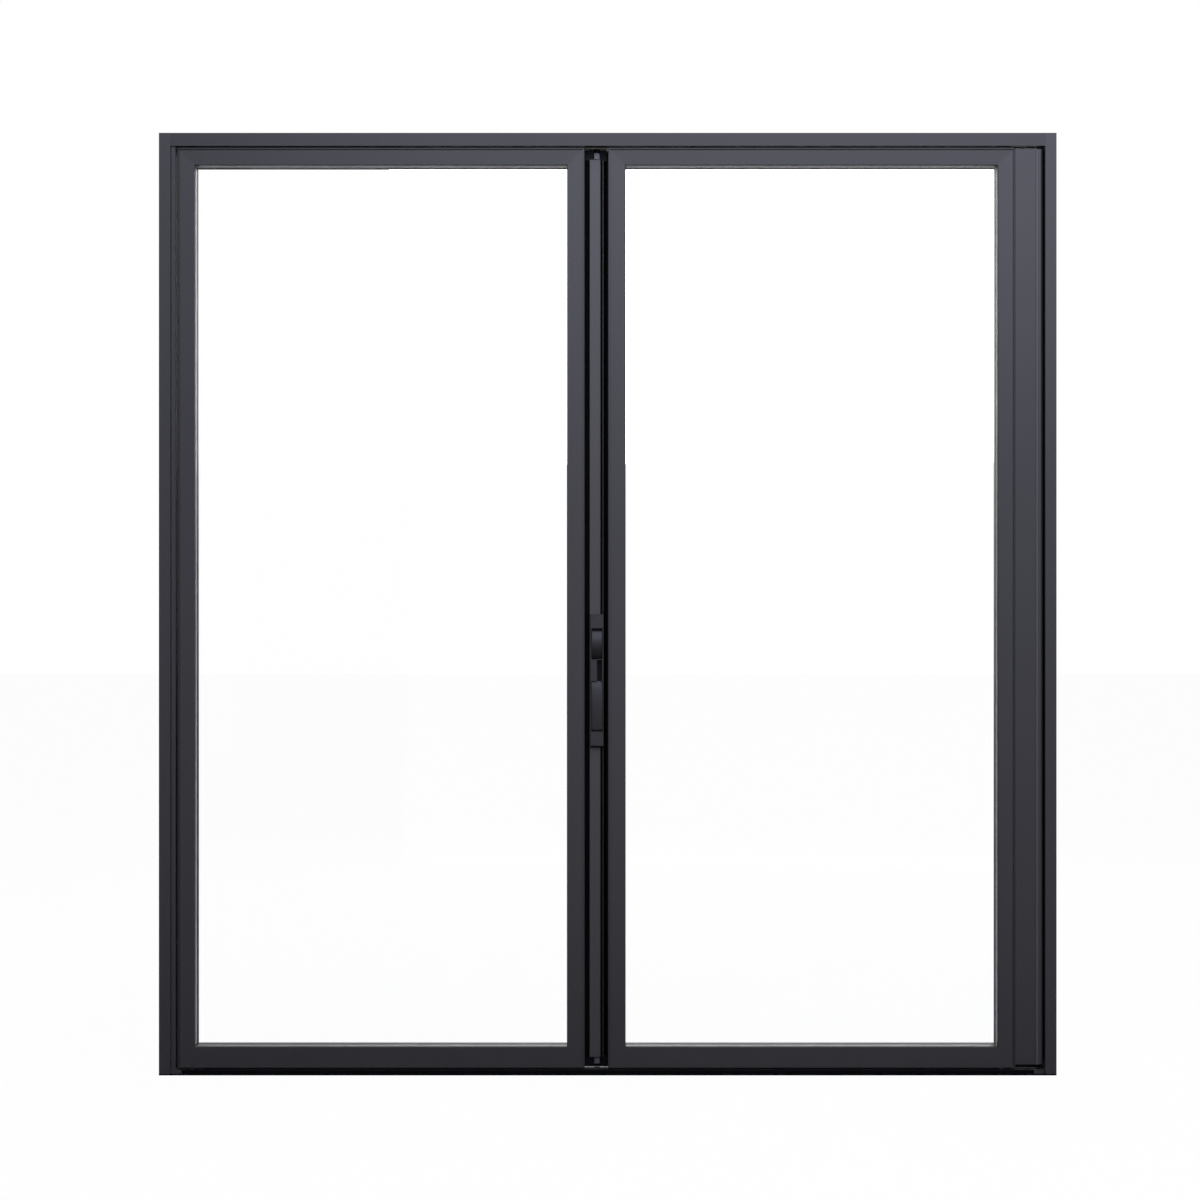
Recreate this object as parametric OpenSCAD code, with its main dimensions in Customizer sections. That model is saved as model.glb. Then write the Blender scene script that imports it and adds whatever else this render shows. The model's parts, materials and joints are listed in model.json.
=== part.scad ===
// Two-leaf glazed folding door in its own aluminium frame, closed.
// X runs to the right, Y away from the side the leaves fold to, Z up.
// The origin is the middle of the frame's foot.

/* [Frame] */
// Width over both jambs
frame_w = 2000; // [1700:10:2400]
// Height from the foot of the sill to the top of the head
frame_h = 2100; // [1800:10:2400]
// Depth of the frame
frame_d = 100; // [98:1:110]
// Sight width of a jamb
jamb_face = 25; // [22:1:35]
// Sight height of the head
head_face = 29; // [28:1:36]
// Height of the sill's upstands
sill_h = 12; // [12:0.5:16]
// Wall of the head and jamb profiles
frame_wall = 3; // [2.5:0.5:3]
// Width of the strip that fills the pivot jamb's reveal
filler_w = 10.5; // [6:0.5:10.5]
// Diameter of the holes that fix the jambs to the building
fixing_d = 8; // [6:0.5:12]
// Distance of the fixing holes from the jamb's ends
fixing_end = 150; // [120:10:250]

/* [Leaves] */
// Thickness of a leaf
leaf_t = 60; // [60:1:66]
// How far the leaf faces lie behind the frame's face
leaf_setback = 6; // [6:0.5:7]
// Sight width of the stiles and the top rail
stile_face = 39.5; // [38:0.5:48]
// Sight height of the bottom rail
bottom_face = 48; // [46:1:70]
// Wall of the leaf profiles
leaf_wall = 3; // [2.5:0.5:3.5]
// Depth of the rebate that holds the glass
rebate = 11.5; // [11:0.5:13]
// Space between the pivot jamb and the leaf that turns on it
pivot_gap = 15; // [15:0.5:18]
// Space between the travelling leaf and its jamb
travel_gap = 66; // [60:1:72]
// Space between the two leaves
meeting_gap = 52; // [51:0.5:56]
// Play over and under the leaves
leaf_play = 3; // [2.5:0.5:4]
// Width of the shadow groove along a leaf's outer edges
groove_w = 3; // [2:0.5:5]
// Depth of the shadow groove
groove_deep = 4.5; // [3:0.5:5]

/* [Glazing] */
// Thickness of one pane
pane_t = 6; // [4:0.5:6]
// Space between the panes
cavity = 16; // [12:1:16]
// Thickness of a glazing gasket
gasket_t = 4; // [3:0.5:5]

/* [Folding gear] */
// Distance of the jamb pivot from the leaf's edge
pivot_in = 30; // [28:1:34]
// Distance of the jamb pivot and the track behind the leaf's face
pivot_back = 13; // [13:0.5:14]
// Diameter of the pivot pins and the carriage bolt
pivot_d = 10; // [8:0.5:11]
// Diameter of a carriage wheel
wheel_d = 16; // [13:0.5:18]
// Distance between the carriage axles
wheelbase = 36; // [32:1:60]
// Diameter of the guide roller in the sill
roller_d = 16; // [13:0.5:16]
// Number of hinges between the leaves
hinge_count = 3; // [2:1:5]
// Height of a hinge
hinge_h = 90; // [60:5:120]
// Diameter of a hinge knuckle
knuckle_d = 18; // [14:0.5:18]
// Distance of the hinge axis behind the leaves
hinge_off = 10; // [10:0.5:12]

/* [Lock] */
// Width of the lock post between the leaves
post_w = 31.5; // [31:0.5:33]
// How far the lock post lies behind the leaf faces
post_recess = 28; // [26:1:30]
// Height of the lock plate's foot above the floor
lock_z = 729; // [650:1:900]
// Height of the lock plate
plate_h = 298; // [240:1:360]
// Width of the lever, the finger pocket and the button
lever_w = 23; // [20:0.5:23]
// Length of the lever
lever_h = 112; // [90:1:112]
// Thickness of the lever
lever_t = 10; // [8:0.5:12]
// Height of the push button
button_h = 61; // [40:1:61]
// Travel of the push button
button_travel = 4; // [2:0.5:5]
// Diameter of a shoot bolt's tip
bolt_d = 14; // [12:0.5:14]
// Travel of a shoot bolt
bolt_travel = 14; // [10:0.5:14]

/* [Hidden] */
$fn = 64;

// Radial play of a pin in its bore
running_fit = 0.05;
// Play between faces that pass each other
face_play = 0.3;
// Overshoot of a cutting body
cut = 1;
// Width of a broken edge
edge_break = 1.5;
// Width of a broken edge round the outside of the frame
rim_break = 0.4;

// Frame reference lines
half_w = frame_w / 2;
front_y = -frame_d / 2;
jamb_in = half_w - jamb_face;
head_z = frame_h - head_face;

// Leaf reference lines
leaf_front = front_y + leaf_setback;
leaf_back = leaf_front + leaf_t;
leaf_w = (2 * jamb_in - pivot_gap - travel_gap - meeting_gap) / 2;
leaf_x0 = -jamb_in + pivot_gap;
leaf_x1 = leaf_x0 + leaf_w;
leaf_z0 = sill_h + leaf_play;
leaf_z1 = head_z - leaf_play;
leaf_h = leaf_z1 - leaf_z0;
fold_x = leaf_x1 + meeting_gap / 2;
end_x = 2 * fold_x - leaf_x0;

// Axes of the folding gear
pivot_x = leaf_x0 + pivot_in;
carriage_x = 2 * fold_x - pivot_x;
track_y = leaf_front + pivot_back;
hinge_y = leaf_back + hinge_off;

// Leaf profile, measured inwards from the edge and back from the face
stile_body = stile_face - rebate;
bottom_body = bottom_face - rebate;
groove_in = 3;
groove_slight = 1.8;
socket_cover = 1.5;
web_v = 27;
chamber_y0 = leaf_front + groove_deep + socket_cover;
chamber_y1 = leaf_front + web_v;
cleat_y0 = chamber_y1 + leaf_wall;
cleat_y1 = leaf_back - leaf_wall;
cleat_w = stile_body - 2 * leaf_wall;
cleat_arm = 80;

// Corners of the glazing rebate
glass_x0 = leaf_x0 + stile_body;
glass_x1 = leaf_x1 - stile_body;
glass_z0 = leaf_z0 + bottom_body;
glass_z1 = leaf_z1 - stile_body;

// Glazing, measured back from the leaf's face
lip_t = 6;
glass_edge = 3;
spacer_back = 3;
spacer_in = glass_edge + spacer_back;
spacer_w = 5;
gasket_back = 0.5;
gasket_in = rebate - gasket_back;
outer_pane_v = lip_t + gasket_t;
spacer_v = outer_pane_v + pane_t;
inner_pane_v = spacer_v + cavity;
back_gasket_v = inner_pane_v + pane_t;
bead_v = back_gasket_v + gasket_t;
setting_block_l = 100;

// Filler of the pivot jamb's reveal
filler_play = 3.5;
filler_wall = 2.5;
filler_x1 = leaf_x0 - filler_play;
filler_x0 = filler_x1 - filler_w;
filler_web_in = 8;
filler_webs = [leaf_front + filler_web_in, -front_y - frame_wall - filler_web_in];

// Head track and sill channel
track_half = 16;
track_play = 1;
track_slot = pivot_d + 2 * track_play;
divider_y = track_y + track_half;
wheel_w = 6;
wheel_in = 9;
axle_d = 6;
axle_z = head_z + frame_wall + face_play + wheel_d / 2;
port_r = 4.5;
port_d = 4;
port_inset = 15;
head_ports = [divider_y + frame_wall + port_inset, -front_y - frame_wall - port_inset];
sill_base = 2.5;
channel_half = 9;
sill_port_r = 4;
sill_port_z = sill_base + sill_port_r - cut;
sill_ports = [
    track_y + channel_half + sill_base + sill_port_r + cut,
    -front_y - frame_wall - sill_port_r - cut
];
rear_lip_gap = 6;
rear_lip_y = leaf_back + rear_lip_gap;
rear_lip_drop = 4;
strip_y = track_y - channel_half - sill_base;
strip_end = 25;
block_w = 14;
screw_l = 30;
screw_head_h = 2.5;

// Corner pieces of the leaves
socket_l = 25;
socket_top_h = stile_body - leaf_wall;
socket_bottom_h = bottom_body - leaf_wall;
bolt_head_d = 18;
bolt_head_h = 7;
guide_pin_d = 8;
roller_h = 7;
roller_lift = 1.5;
roller_z = sill_base + roller_lift;
guide_collar = 2;
guide_head_h = 0.8;
pin_short = 3;
guide_short = 5;

// Hinges
hinge_pin_d = 8;
hinge_plate_t = 4;
hinge_plate_w = 26;
knuckle_play = 1;
hinge_notch = knuckle_d / 2 + knuckle_play;
hinge_end = 235;
hinge_pitch = (leaf_h - 2 * hinge_end) / (hinge_count - 1);

// Lock post and what it carries
post_wall = 2.5;
post_skin = 3;
post_step_w = 7.5;
post_step_d = 6;
post_y0 = leaf_front + post_recess;
post_back_gap = 4;
post_y1 = leaf_back - post_back_gap;
post_x0 = fold_x - post_w / 2;
post_x1 = fold_x + post_w / 2;
post_foot_gap = 20;
post_head_gap = 22;
post_z0 = leaf_z0 + post_foot_gap;
post_z1 = leaf_z1 - post_head_gap;
post_flange_t = 4;
post_mid_y = (post_y0 + post_step_d + post_skin + post_y1 - post_skin) / 2;
button_play = 0.3;
window_play = 1;
lock_aside = 1.5;
lock_x = fold_x + lock_aside;
plate_rest = plate_h - lever_h - button_h;
plate_margin = 0.296 * plate_rest;
button_gap = 0.032 * plate_rest;
pocket_h = plate_rest - 2 * plate_margin - button_gap;
plate_w = 30;
plate_floor = 3;
lever_gap = 1;
lever_play = 1.4;
lever_proud = 2;
lever_y0 = post_y0 - plate_floor - lever_gap - lever_t;
plate_y = lever_y0 + lever_proud;
plate_t = post_y0 - plate_y;
case_w = 27;
case_d = 13;
screw_edge = 7;
lock_screw_d = 3;
screw_cap_d = 6;
case_edge = 2 * screw_edge;
case_z0 = lock_z + case_edge;
case_h = plate_h - 2 * case_edge;
gear_w = 22;
gear_inset = 38;
gear_y0 = post_y0 + case_d;
gear_y1 = post_y1 - post_skin;
gear_half = gear_y1 - post_mid_y;
lever_z0 = lock_z + plate_margin;
lever_axis_y = lever_y0 + lever_t / 2;
lever_axis_z = lever_z0 + lever_t / 2;
lever_round = 11;
lever_pin_d = 4;
pocket_z0 = lever_z0 + lever_h;
pocket_d = 10;
dish_d = 2.5;
button_z0 = pocket_z0 + pocket_h + button_gap;
button_out = 1;
button_y0 = plate_y - button_out;
button_bulge = 60;
button_in = 3;
button_back = post_y0 + button_in;
guide_h = 30;
guide_lip = 3;
tip_out = 17;
tip_l = 60;
rod_d = 8;
rod_in = 30;
keeper_w = 34;
keeper_half = 10.5;
keeper_t = 3;
keeper_play = 0.75;

// Seals of the meeting gap and of the travelling jamb
seal_t = 2.5;
seal_lap = 4;
seal_foot = 16;
bulb_r = 4.5;
bulb_wall = 1.5;
bulb_foot = 2;
bulb_y = 6;

// Hollow end profile of the travelling leaf, with a round nose beside its jamb
cover_play = 4;
cover_foot_gap = 8.5;
cover_head_gap = 3;
cover_end = jamb_in - cover_play;
cover_t = 3;
cover_x1 = jamb_in - 2 * bulb_r - bulb_foot - face_play;
nose_r = 6.5;
nose_line = 1.2;
cover_z0 = leaf_z0 + cover_foot_gap;
cover_z1 = leaf_z1 - cover_head_gap;

coat = "#3d3d43";
rubber = "#161617";
steel = "#a9acb0";
nylon = "#2a2a2c";
zinc = "#5a5b60";
clear_glass = [0.86, 0.92, 0.93, 0.25];

// Box between two corners
module span(a, b) {
    translate(a)
        cube(b - a);
}

// Ring in the plane of a leaf between two rectangles, from y0 to y1
module frame_ring(x0, z0, x1, z1, width, y0, y1) {
    difference() {
        span([x0, y0, z0], [x1, y1, z1]);
        span([x0 + width, y0 - cut, z0 + width], [x1 - width, y1 + cut, z1 - width]);
    }
}

// Mirror image on the other leaf
module other_leaf() {
    translate([2 * fold_x, 0, 0])
        mirror([1, 0, 0])
            children();
}

// Places of a bar at the four sides of a rectangle; the bar runs along Z with its edge at X = 0
module at_left(x, z) {
    translate([x, leaf_front, z])
        children();
}

module at_right(x, z) {
    translate([x, leaf_front, z])
        mirror([1, 0, 0])
            children();
}

module at_bottom(x, z) {
    translate([x, leaf_front, z])
        mirror([1, 0, -1])
            children();
}

module at_top(x, z) {
    translate([x, leaf_front, z])
        mirror([0, 0, 1])
            mirror([1, 0, -1])
                children();
}

// Wedge under a mitre that rises by foot over the width of face
module mitre_wedge(face, foot) {
    rise = foot / face;
    translate([0, leaf_t + cut, 0])
        rotate([90, 0, 0])
            linear_extrude(leaf_t + 2 * cut)
                polygon([
                    [-cut, -cut * rise],
                    [face + cut, (face + cut) * rise],
                    [face + cut, -cut * rise]
                ]);
}

// Bar of the 2D section, mitred at both ends
module mitred_bar(length, face, foot_a, foot_b) {
    difference() {
        linear_extrude(length)
            children();
        mitre_wedge(face, foot_a);
        translate([0, 0, length])
            mirror([0, 0, 1])
                mitre_wedge(face, foot_b);
    }
}

// Leaf profile with two chambers, a front lip for the glass and a shadow groove of the given depth
module leaf_section(face, groove) {
    body = face - rebate;
    inner = body - leaf_wall;
    groove_out = groove_in + groove_w;
    shoulder = groove_out + leaf_wall;
    difference() {
        polygon(concat(
            [[0, edge_break], [edge_break, 0]],
            groove > 0 ? [[groove_in, 0], [groove_in, groove], [groove_out, groove], [groove_out, 0]] : [],
            [[face - edge_break, 0], [face, edge_break], [face, lip_t], [body, lip_t]],
            [[body, leaf_t], [edge_break, leaf_t], [0, leaf_t - edge_break]]
        ));
        polygon(concat(
            [[leaf_wall, groove + leaf_wall]],
            groove > 0 ? [[shoulder, groove + leaf_wall], [shoulder, leaf_wall]] : [],
            [[inner, leaf_wall], [inner, web_v], [leaf_wall, web_v]]
        ));
        translate([leaf_wall, web_v + leaf_wall])
            square([inner - leaf_wall, leaf_t - web_v - 2 * leaf_wall]);
    }
}

// Room for the corner pieces over and under the pivot axis
module socket_room(over) {
    span(
        [leaf_x0 + leaf_wall, chamber_y0, leaf_z1 - socket_top_h],
        [pivot_x + socket_l, chamber_y1, leaf_z1 + over]
    );
    span(
        [leaf_x0 + leaf_wall, chamber_y0, leaf_z0 - over],
        [pivot_x + socket_l, chamber_y1, leaf_z0 + socket_bottom_h]
    );
}

module outer_stile() {
    difference() {
        at_left(leaf_x0, leaf_z0)
            mitred_bar(leaf_h, stile_face, bottom_face, stile_face)
                leaf_section(stile_face, groove_deep);
        socket_room(cut);
    }
}

module meeting_stile() {
    at_right(leaf_x1, leaf_z0)
        mitred_bar(leaf_h, stile_face, bottom_face, stile_face)
            leaf_section(stile_face, groove_slight);
}

module top_rail() {
    difference() {
        at_top(leaf_x0, leaf_z1)
            mitred_bar(leaf_w, stile_face, stile_face, stile_face)
                leaf_section(stile_face, groove_deep);
        socket_room(cut);
    }
}

module bottom_rail() {
    difference() {
        at_bottom(leaf_x0, leaf_z0)
            mitred_bar(leaf_w, bottom_face, stile_face, stile_face)
                leaf_section(bottom_face, 0);
        socket_room(cut);
    }
}

// Glazing bead with a splayed back edge
module bead_section() {
    bead_deep = leaf_t - bead_v;
    translate([0, bead_v])
        polygon([
            [0, 0],
            [rebate, 0],
            [rebate, bead_deep - 2 * edge_break],
            [rebate - 2 * edge_break, bead_deep],
            [0, bead_deep]
        ]);
}

module glazing_beads() {
    wide = glass_x1 - glass_x0;
    high = glass_z1 - glass_z0;
    at_left(glass_x0, glass_z0)
        mitred_bar(high, rebate, rebate, rebate)
            bead_section();
    at_right(glass_x1, glass_z0)
        mitred_bar(high, rebate, rebate, rebate)
            bead_section();
    at_bottom(glass_x0, glass_z0)
        mitred_bar(wide, rebate, rebate, rebate)
            bead_section();
    at_top(glass_x0, glass_z1)
        mitred_bar(wide, rebate, rebate, rebate)
            bead_section();
}

// Rectangular ring set into the rebate by an inset, between two depths of the leaf
module rebate_ring(inset, width, v0, v1) {
    frame_ring(
        glass_x0 + inset, glass_z0 + inset, glass_x1 - inset, glass_z1 - inset,
        width, leaf_front + v0, leaf_front + v1
    );
}

module gaskets() {
    rebate_ring(glass_edge, gasket_in - glass_edge, lip_t, outer_pane_v);
    rebate_ring(glass_edge, gasket_in - glass_edge, back_gasket_v, bead_v);
}

module pane(v) {
    span(
        [glass_x0 + glass_edge, leaf_front + v, glass_z0 + glass_edge],
        [glass_x1 - glass_edge, leaf_front + v + pane_t, glass_z1 - glass_edge]
    );
}

module spacer() {
    rebate_ring(spacer_in, spacer_w, spacer_v, inner_pane_v);
}

// Blocks a quarter of the way in from each end carry the glass
module setting_blocks() {
    for (share = [0.25, 0.75]) {
        middle = glass_x0 + share * (glass_x1 - glass_x0);
        span(
            [middle - setting_block_l / 2, leaf_front + outer_pane_v, glass_z0],
            [middle + setting_block_l / 2, leaf_front + back_gasket_v, glass_z0 + glass_edge]
        );
    }
}

// Angle in the back chambers of one corner; toward is 1 for a foot corner and -1 for a head corner
module corner_cleat(x, z, aside, toward) {
    translate([x, 0, z])
        mirror([aside < 0 ? 1 : 0, 0, 0])
            mirror([0, 0, toward < 0 ? 1 : 0]) {
                span(
                    [leaf_wall, cleat_y0, leaf_wall],
                    [leaf_wall + cleat_w, cleat_y1, leaf_wall + cleat_arm]
                );
                span(
                    [leaf_wall, cleat_y0, leaf_wall],
                    [leaf_wall + cleat_arm, cleat_y1, leaf_wall + cleat_w]
                );
            }
}

module corner_cleats() {
    corner_cleat(leaf_x0, leaf_z0, 1, 1);
    corner_cleat(leaf_x1, leaf_z0, -1, 1);
    corner_cleat(leaf_x0, leaf_z1, 1, -1);
    corner_cleat(leaf_x1, leaf_z1, -1, -1);
}

// Upright bore at the pivot axis
module pivot_bore(d, z0, z1) {
    translate([pivot_x, track_y, z0])
        cylinder(d = d, h = z1 - z0);
}

// Head: closed box with a track chamber, a rear chamber and ports for the corner screws
module head() {
    rear_y = -front_y - frame_wall;
    color(coat)
        difference() {
            translate([-jamb_in, 0, head_z])
                rotate([90, 0, 90])
                    linear_extrude(2 * jamb_in)
                        head_section(rear_y);
            translate([lock_x, post_mid_y, head_z - cut])
                cylinder(d = bolt_d + 4 * keeper_play, h = frame_wall + 2 * cut);
        }
}

module head_section(rear_y) {
    top = head_face - frame_wall;
    difference() {
        polygon([
            [front_y, edge_break],
            [front_y + edge_break, 0],
            [-front_y, 0],
            [-front_y, head_face],
            [front_y + rim_break, head_face],
            [front_y, head_face - rim_break]
        ]);
        translate([track_y - track_half, frame_wall])
            square([2 * track_half, top - frame_wall]);
        translate([track_y - track_slot / 2, -cut])
            square([track_slot, frame_wall + 2 * cut]);
        difference() {
            translate([divider_y + frame_wall, frame_wall])
                square([rear_y - divider_y - frame_wall, top - frame_wall]);
            for (y = head_ports)
                translate([y, top - port_r + cut / 2])
                    circle(r = port_r);
        }
        for (y = head_ports)
            translate([y, top - port_r + cut / 2])
                circle(d = port_d);
    }
}

// Sill: base with a guide channel, a rear lip and ports for the corner screws
module sill() {
    color(coat)
        translate([-jamb_in, 0, 0])
            rotate([90, 0, 90])
                linear_extrude(2 * jamb_in)
                    sill_section();
}

module sill_section() {
    channel = [track_y - channel_half, track_y + channel_half];
    difference() {
        union() {
            translate([strip_y, 0])
                square([-front_y - strip_y, sill_base]);
            translate([channel[0] - sill_base, 0])
                square([sill_base, sill_h]);
            translate([channel[1], 0])
                square([sill_base, sill_h]);
            translate([rear_lip_y, 0])
                square([sill_base, sill_h]);
            translate([-front_y - sill_base, 0])
                square([sill_base, sill_h - rear_lip_drop]);
            for (y = sill_ports)
                translate([y, sill_port_z])
                    circle(r = sill_port_r);
        }
        for (y = sill_ports)
            translate([y, sill_port_z])
                circle(d = port_d);
    }
}

// Hollow jamb with fixing holes and access holes for the corner screws, for the left side
module jamb() {
    difference() {
        linear_extrude(frame_h)
            jamb_section();
        for (z = fixing_heights())
            translate([-half_w - cut, 0, z])
                rotate([0, 90, 0])
                    cylinder(d = fixing_d, h = jamb_face + 2 * cut);
        for (at = screw_places()) {
            translate([-half_w - cut, at[0], at[1]])
                rotate([0, 90, 0])
                    cylinder(d = 2 * port_r + 1, h = frame_wall + 2 * cut);
            translate([-jamb_in - frame_wall - cut, at[0], at[1]])
                rotate([0, 90, 0])
                    cylinder(d = port_d, h = frame_wall + 2 * cut);
        }
    }
}

module jamb_section() {
    difference() {
        polygon([
            [-half_w, front_y + rim_break],
            [-half_w + rim_break, front_y],
            [-jamb_in - edge_break, front_y],
            [-jamb_in, front_y + edge_break],
            [-jamb_in, -front_y],
            [-half_w, -front_y]
        ]);
        translate([-half_w + frame_wall, front_y + frame_wall])
            square([jamb_face - 2 * frame_wall, frame_d - 2 * frame_wall]);
    }
}

function fixing_heights() = [
    for (step = [0:3]) fixing_end + step * (frame_h - 2 * fixing_end) / 3
];

function screw_places() = concat(
    [for (y = head_ports) [y, frame_h - frame_wall - port_r + cut / 2]],
    [for (y = sill_ports) [y, sill_port_z]]
);

module left_jamb() {
    color(coat)
        jamb();
}

module right_jamb() {
    color(coat)
        mirror([1, 0, 0])
            jamb();
}

// Screws sit inside the jambs and run into the ports of head and sill
module frame_screws() {
    color(steel)
        for (side = [0, 1])
            mirror([side, 0, 0])
                for (at = screw_places())
                    translate([-jamb_in - frame_wall, at[0], at[1]])
                        rotate([0, 90, 0]) {
                            cylinder(d = port_d - 2 * running_fit, h = screw_l);
                            translate([0, 0, -screw_head_h])
                                cylinder(r = sill_port_r, h = screw_head_h);
                        }
}

// Hollow filler strip on the pivot jamb, with webs that bridge the shadow gap
module pivot_side_filler() {
    filler_back = -front_y - frame_wall;
    color(coat)
        translate([0, 0, sill_h])
            linear_extrude(head_z - sill_h)
                difference() {
                    union() {
                        polygon([
                            [filler_x0, leaf_front],
                            [filler_x0 + edge_break, leaf_front - edge_break],
                            [filler_x1 - edge_break, leaf_front - edge_break],
                            [filler_x1, leaf_front],
                            [filler_x1, filler_back],
                            [filler_x0, filler_back]
                        ]);
                        for (y = filler_webs)
                            translate([-jamb_in, y])
                                square([filler_x0 + jamb_in + cut, frame_wall]);
                    }
                    translate([filler_x0 + filler_wall, leaf_front + filler_wall])
                        square([filler_w - 2 * filler_wall, filler_back - leaf_front - 2 * filler_wall]);
                }
}

module sill_front_strip() {
    reach = jamb_in - strip_end;
    color(rubber)
        translate([-reach, 0, 0])
            rotate([90, 0, 90])
                linear_extrude(2 * reach)
                    polygon([
                        [front_y, 0],
                        [strip_y, 0],
                        [strip_y, sill_h],
                        [front_y + 2 * edge_break, sill_h],
                        [front_y, sill_h - 2 * edge_break]
                    ]);
}

// Blocks at the ends of the sill's front; the one on the pivot side closes the foot of the filler
module sill_end_blocks() {
    reach = jamb_in - strip_end;
    color(zinc) {
        span([filler_x0, front_y + edge_break, 0], [-reach, strip_y, sill_h]);
        span([reach, front_y + edge_break, 0], [reach + block_w, strip_y, sill_h]);
    }
}

// Bulb seal on the travelling jamb
module right_jamb_seal() {
    color(rubber)
        translate([jamb_in, bulb_y, sill_h])
            linear_extrude(head_z - sill_h)
                difference() {
                    union() {
                        translate([-bulb_r - bulb_foot, 0])
                            circle(r = bulb_r);
                        translate([-bulb_r, -bulb_foot])
                            square([bulb_r, 2 * bulb_foot]);
                    }
                    translate([-bulb_r - bulb_foot, 0])
                        circle(r = bulb_r - bulb_wall);
                }
}

// Blocks of the jamb pivot in the head track and in the sill channel
module top_pivot_block() {
    color(zinc)
        difference() {
            span(
                [-jamb_in, track_y - track_half, head_z + frame_wall],
                [pivot_x + socket_l, track_y + track_half, frame_h - frame_wall]
            );
            pivot_bore(pivot_d + 2 * running_fit, head_z, frame_h - 3 * frame_wall);
        }
}

module bottom_pivot_block() {
    color(zinc)
        difference() {
            span(
                [-jamb_in, track_y - channel_half, sill_base],
                [pivot_x + socket_l, track_y + channel_half, sill_h]
            );
            pivot_bore(pivot_d + 2 * running_fit, sill_base + pin_short, sill_h + cut);
        }
}

module jamb_pivot_pins() {
    color(steel) {
        pivot_bore(pivot_d, leaf_z1 - socket_top_h + pin_short, frame_h - 3 * frame_wall);
        pivot_bore(pivot_d, sill_base + pin_short, leaf_z0 + socket_bottom_h - pin_short);
        pivot_bore(bolt_head_d, sill_h, leaf_z0 - face_play);
    }
}

// Plates with a hole for the shoot bolts, on the floor of the head and of the sill
module bolt_keepers() {
    track_z = head_z + frame_wall;
    color(zinc)
        difference() {
            union() {
                for (ends = [[sill_base, sill_h - keeper_t], [track_z, track_z + keeper_t]])
                    span(
                        [lock_x - keeper_w, post_mid_y - keeper_half, ends[0]],
                        [lock_x + keeper_w, post_mid_y + keeper_half, ends[1]]
                    );
            }
            for (z = [sill_base, head_z])
                translate([lock_x, post_mid_y, z - cut])
                    cylinder(d = bolt_d + 2 * keeper_play, h = 2 * sill_h);
        }
}

module left_pivot_stile() {
    color(coat)
        outer_stile();
}

module left_meeting_stile() {
    color(coat)
        meeting_stile();
}

module left_top_rail() {
    color(coat)
        top_rail();
}

module left_bottom_rail() {
    color(coat)
        bottom_rail();
}

module left_glazing_beads() {
    color(coat)
        glazing_beads();
}

module left_gaskets() {
    color(rubber)
        gaskets();
}

module left_outer_pane() {
    color(clear_glass)
        pane(outer_pane_v);
}

module left_inner_pane() {
    color(clear_glass)
        pane(inner_pane_v);
}

module left_spacer() {
    color(steel)
        spacer();
}

module left_setting_blocks() {
    color(nylon)
        setting_blocks();
}

module left_corner_cleats() {
    color(steel)
        corner_cleats();
}

// Blocks in the leaf's corners that turn on the jamb's pins
module left_pivot_sockets() {
    color(zinc)
        difference() {
            socket_room(0);
            pivot_bore(pivot_d + 2 * running_fit, leaf_z0 - cut, leaf_z1 + cut);
        }
}

module right_end_stile() {
    color(coat)
        other_leaf()
            outer_stile();
}

module right_meeting_stile() {
    color(coat)
        other_leaf()
            meeting_stile();
}

module right_top_rail() {
    color(coat)
        other_leaf()
            top_rail();
}

module right_bottom_rail() {
    color(coat)
        other_leaf()
            bottom_rail();
}

module right_glazing_beads() {
    color(coat)
        other_leaf()
            glazing_beads();
}

module right_gaskets() {
    color(rubber)
        other_leaf()
            gaskets();
}

module right_outer_pane() {
    color(clear_glass)
        other_leaf()
            pane(outer_pane_v);
}

module right_inner_pane() {
    color(clear_glass)
        other_leaf()
            pane(inner_pane_v);
}

module right_spacer() {
    color(steel)
        other_leaf()
            spacer();
}

module right_setting_blocks() {
    color(nylon)
        other_leaf()
            setting_blocks();
}

module right_corner_cleats() {
    color(steel)
        other_leaf()
            corner_cleats();
}

// Block in the travelling leaf's top corner, with a seat for the carriage bolt's head
module hanger_block() {
    seat_z = leaf_z1 - socket_top_h + bolt_head_h + 2 * face_play;
    color(zinc)
        other_leaf()
            difference() {
                intersection() {
                    socket_room(0);
                    span([leaf_x0, leaf_front, leaf_z1 - 2 * socket_top_h], [fold_x, leaf_back, leaf_z1]);
                }
                pivot_bore(pivot_d + 2 * running_fit, leaf_z1 - socket_top_h - cut, leaf_z1 + cut);
                pivot_bore(bolt_head_d + 2 * face_play, leaf_z1 - socket_top_h - cut, seat_z);
            }
}

module guide_block() {
    bore_z = leaf_z0 + socket_bottom_h - guide_short;
    color(zinc)
        other_leaf()
            difference() {
                intersection() {
                    socket_room(0);
                    span([leaf_x0, leaf_front, leaf_z0], [fold_x, leaf_back, leaf_z0 + 2 * socket_bottom_h]);
                }
                pivot_bore(guide_pin_d + 2 * running_fit, leaf_z0 - cut, bore_z);
            }
}

// Guide pin with a collar under the leaf and a head under the roller
module guide_pin() {
    collar_d = guide_pin_d + 2 * guide_collar;
    color(steel)
        other_leaf() {
            pivot_bore(guide_pin_d, roller_z - face_play, leaf_z0 + socket_bottom_h - guide_short);
            pivot_bore(collar_d, roller_z - face_play - guide_head_h, roller_z - face_play);
            pivot_bore(collar_d, roller_z + roller_h + face_play, leaf_z0);
        }
}

module guide_roller() {
    color(nylon)
        other_leaf()
            difference() {
                pivot_bore(roller_d, roller_z, roller_z + roller_h);
                pivot_bore(guide_pin_d + 2 * running_fit, roller_z - cut, roller_z + roller_h + cut);
            }
}

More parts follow.
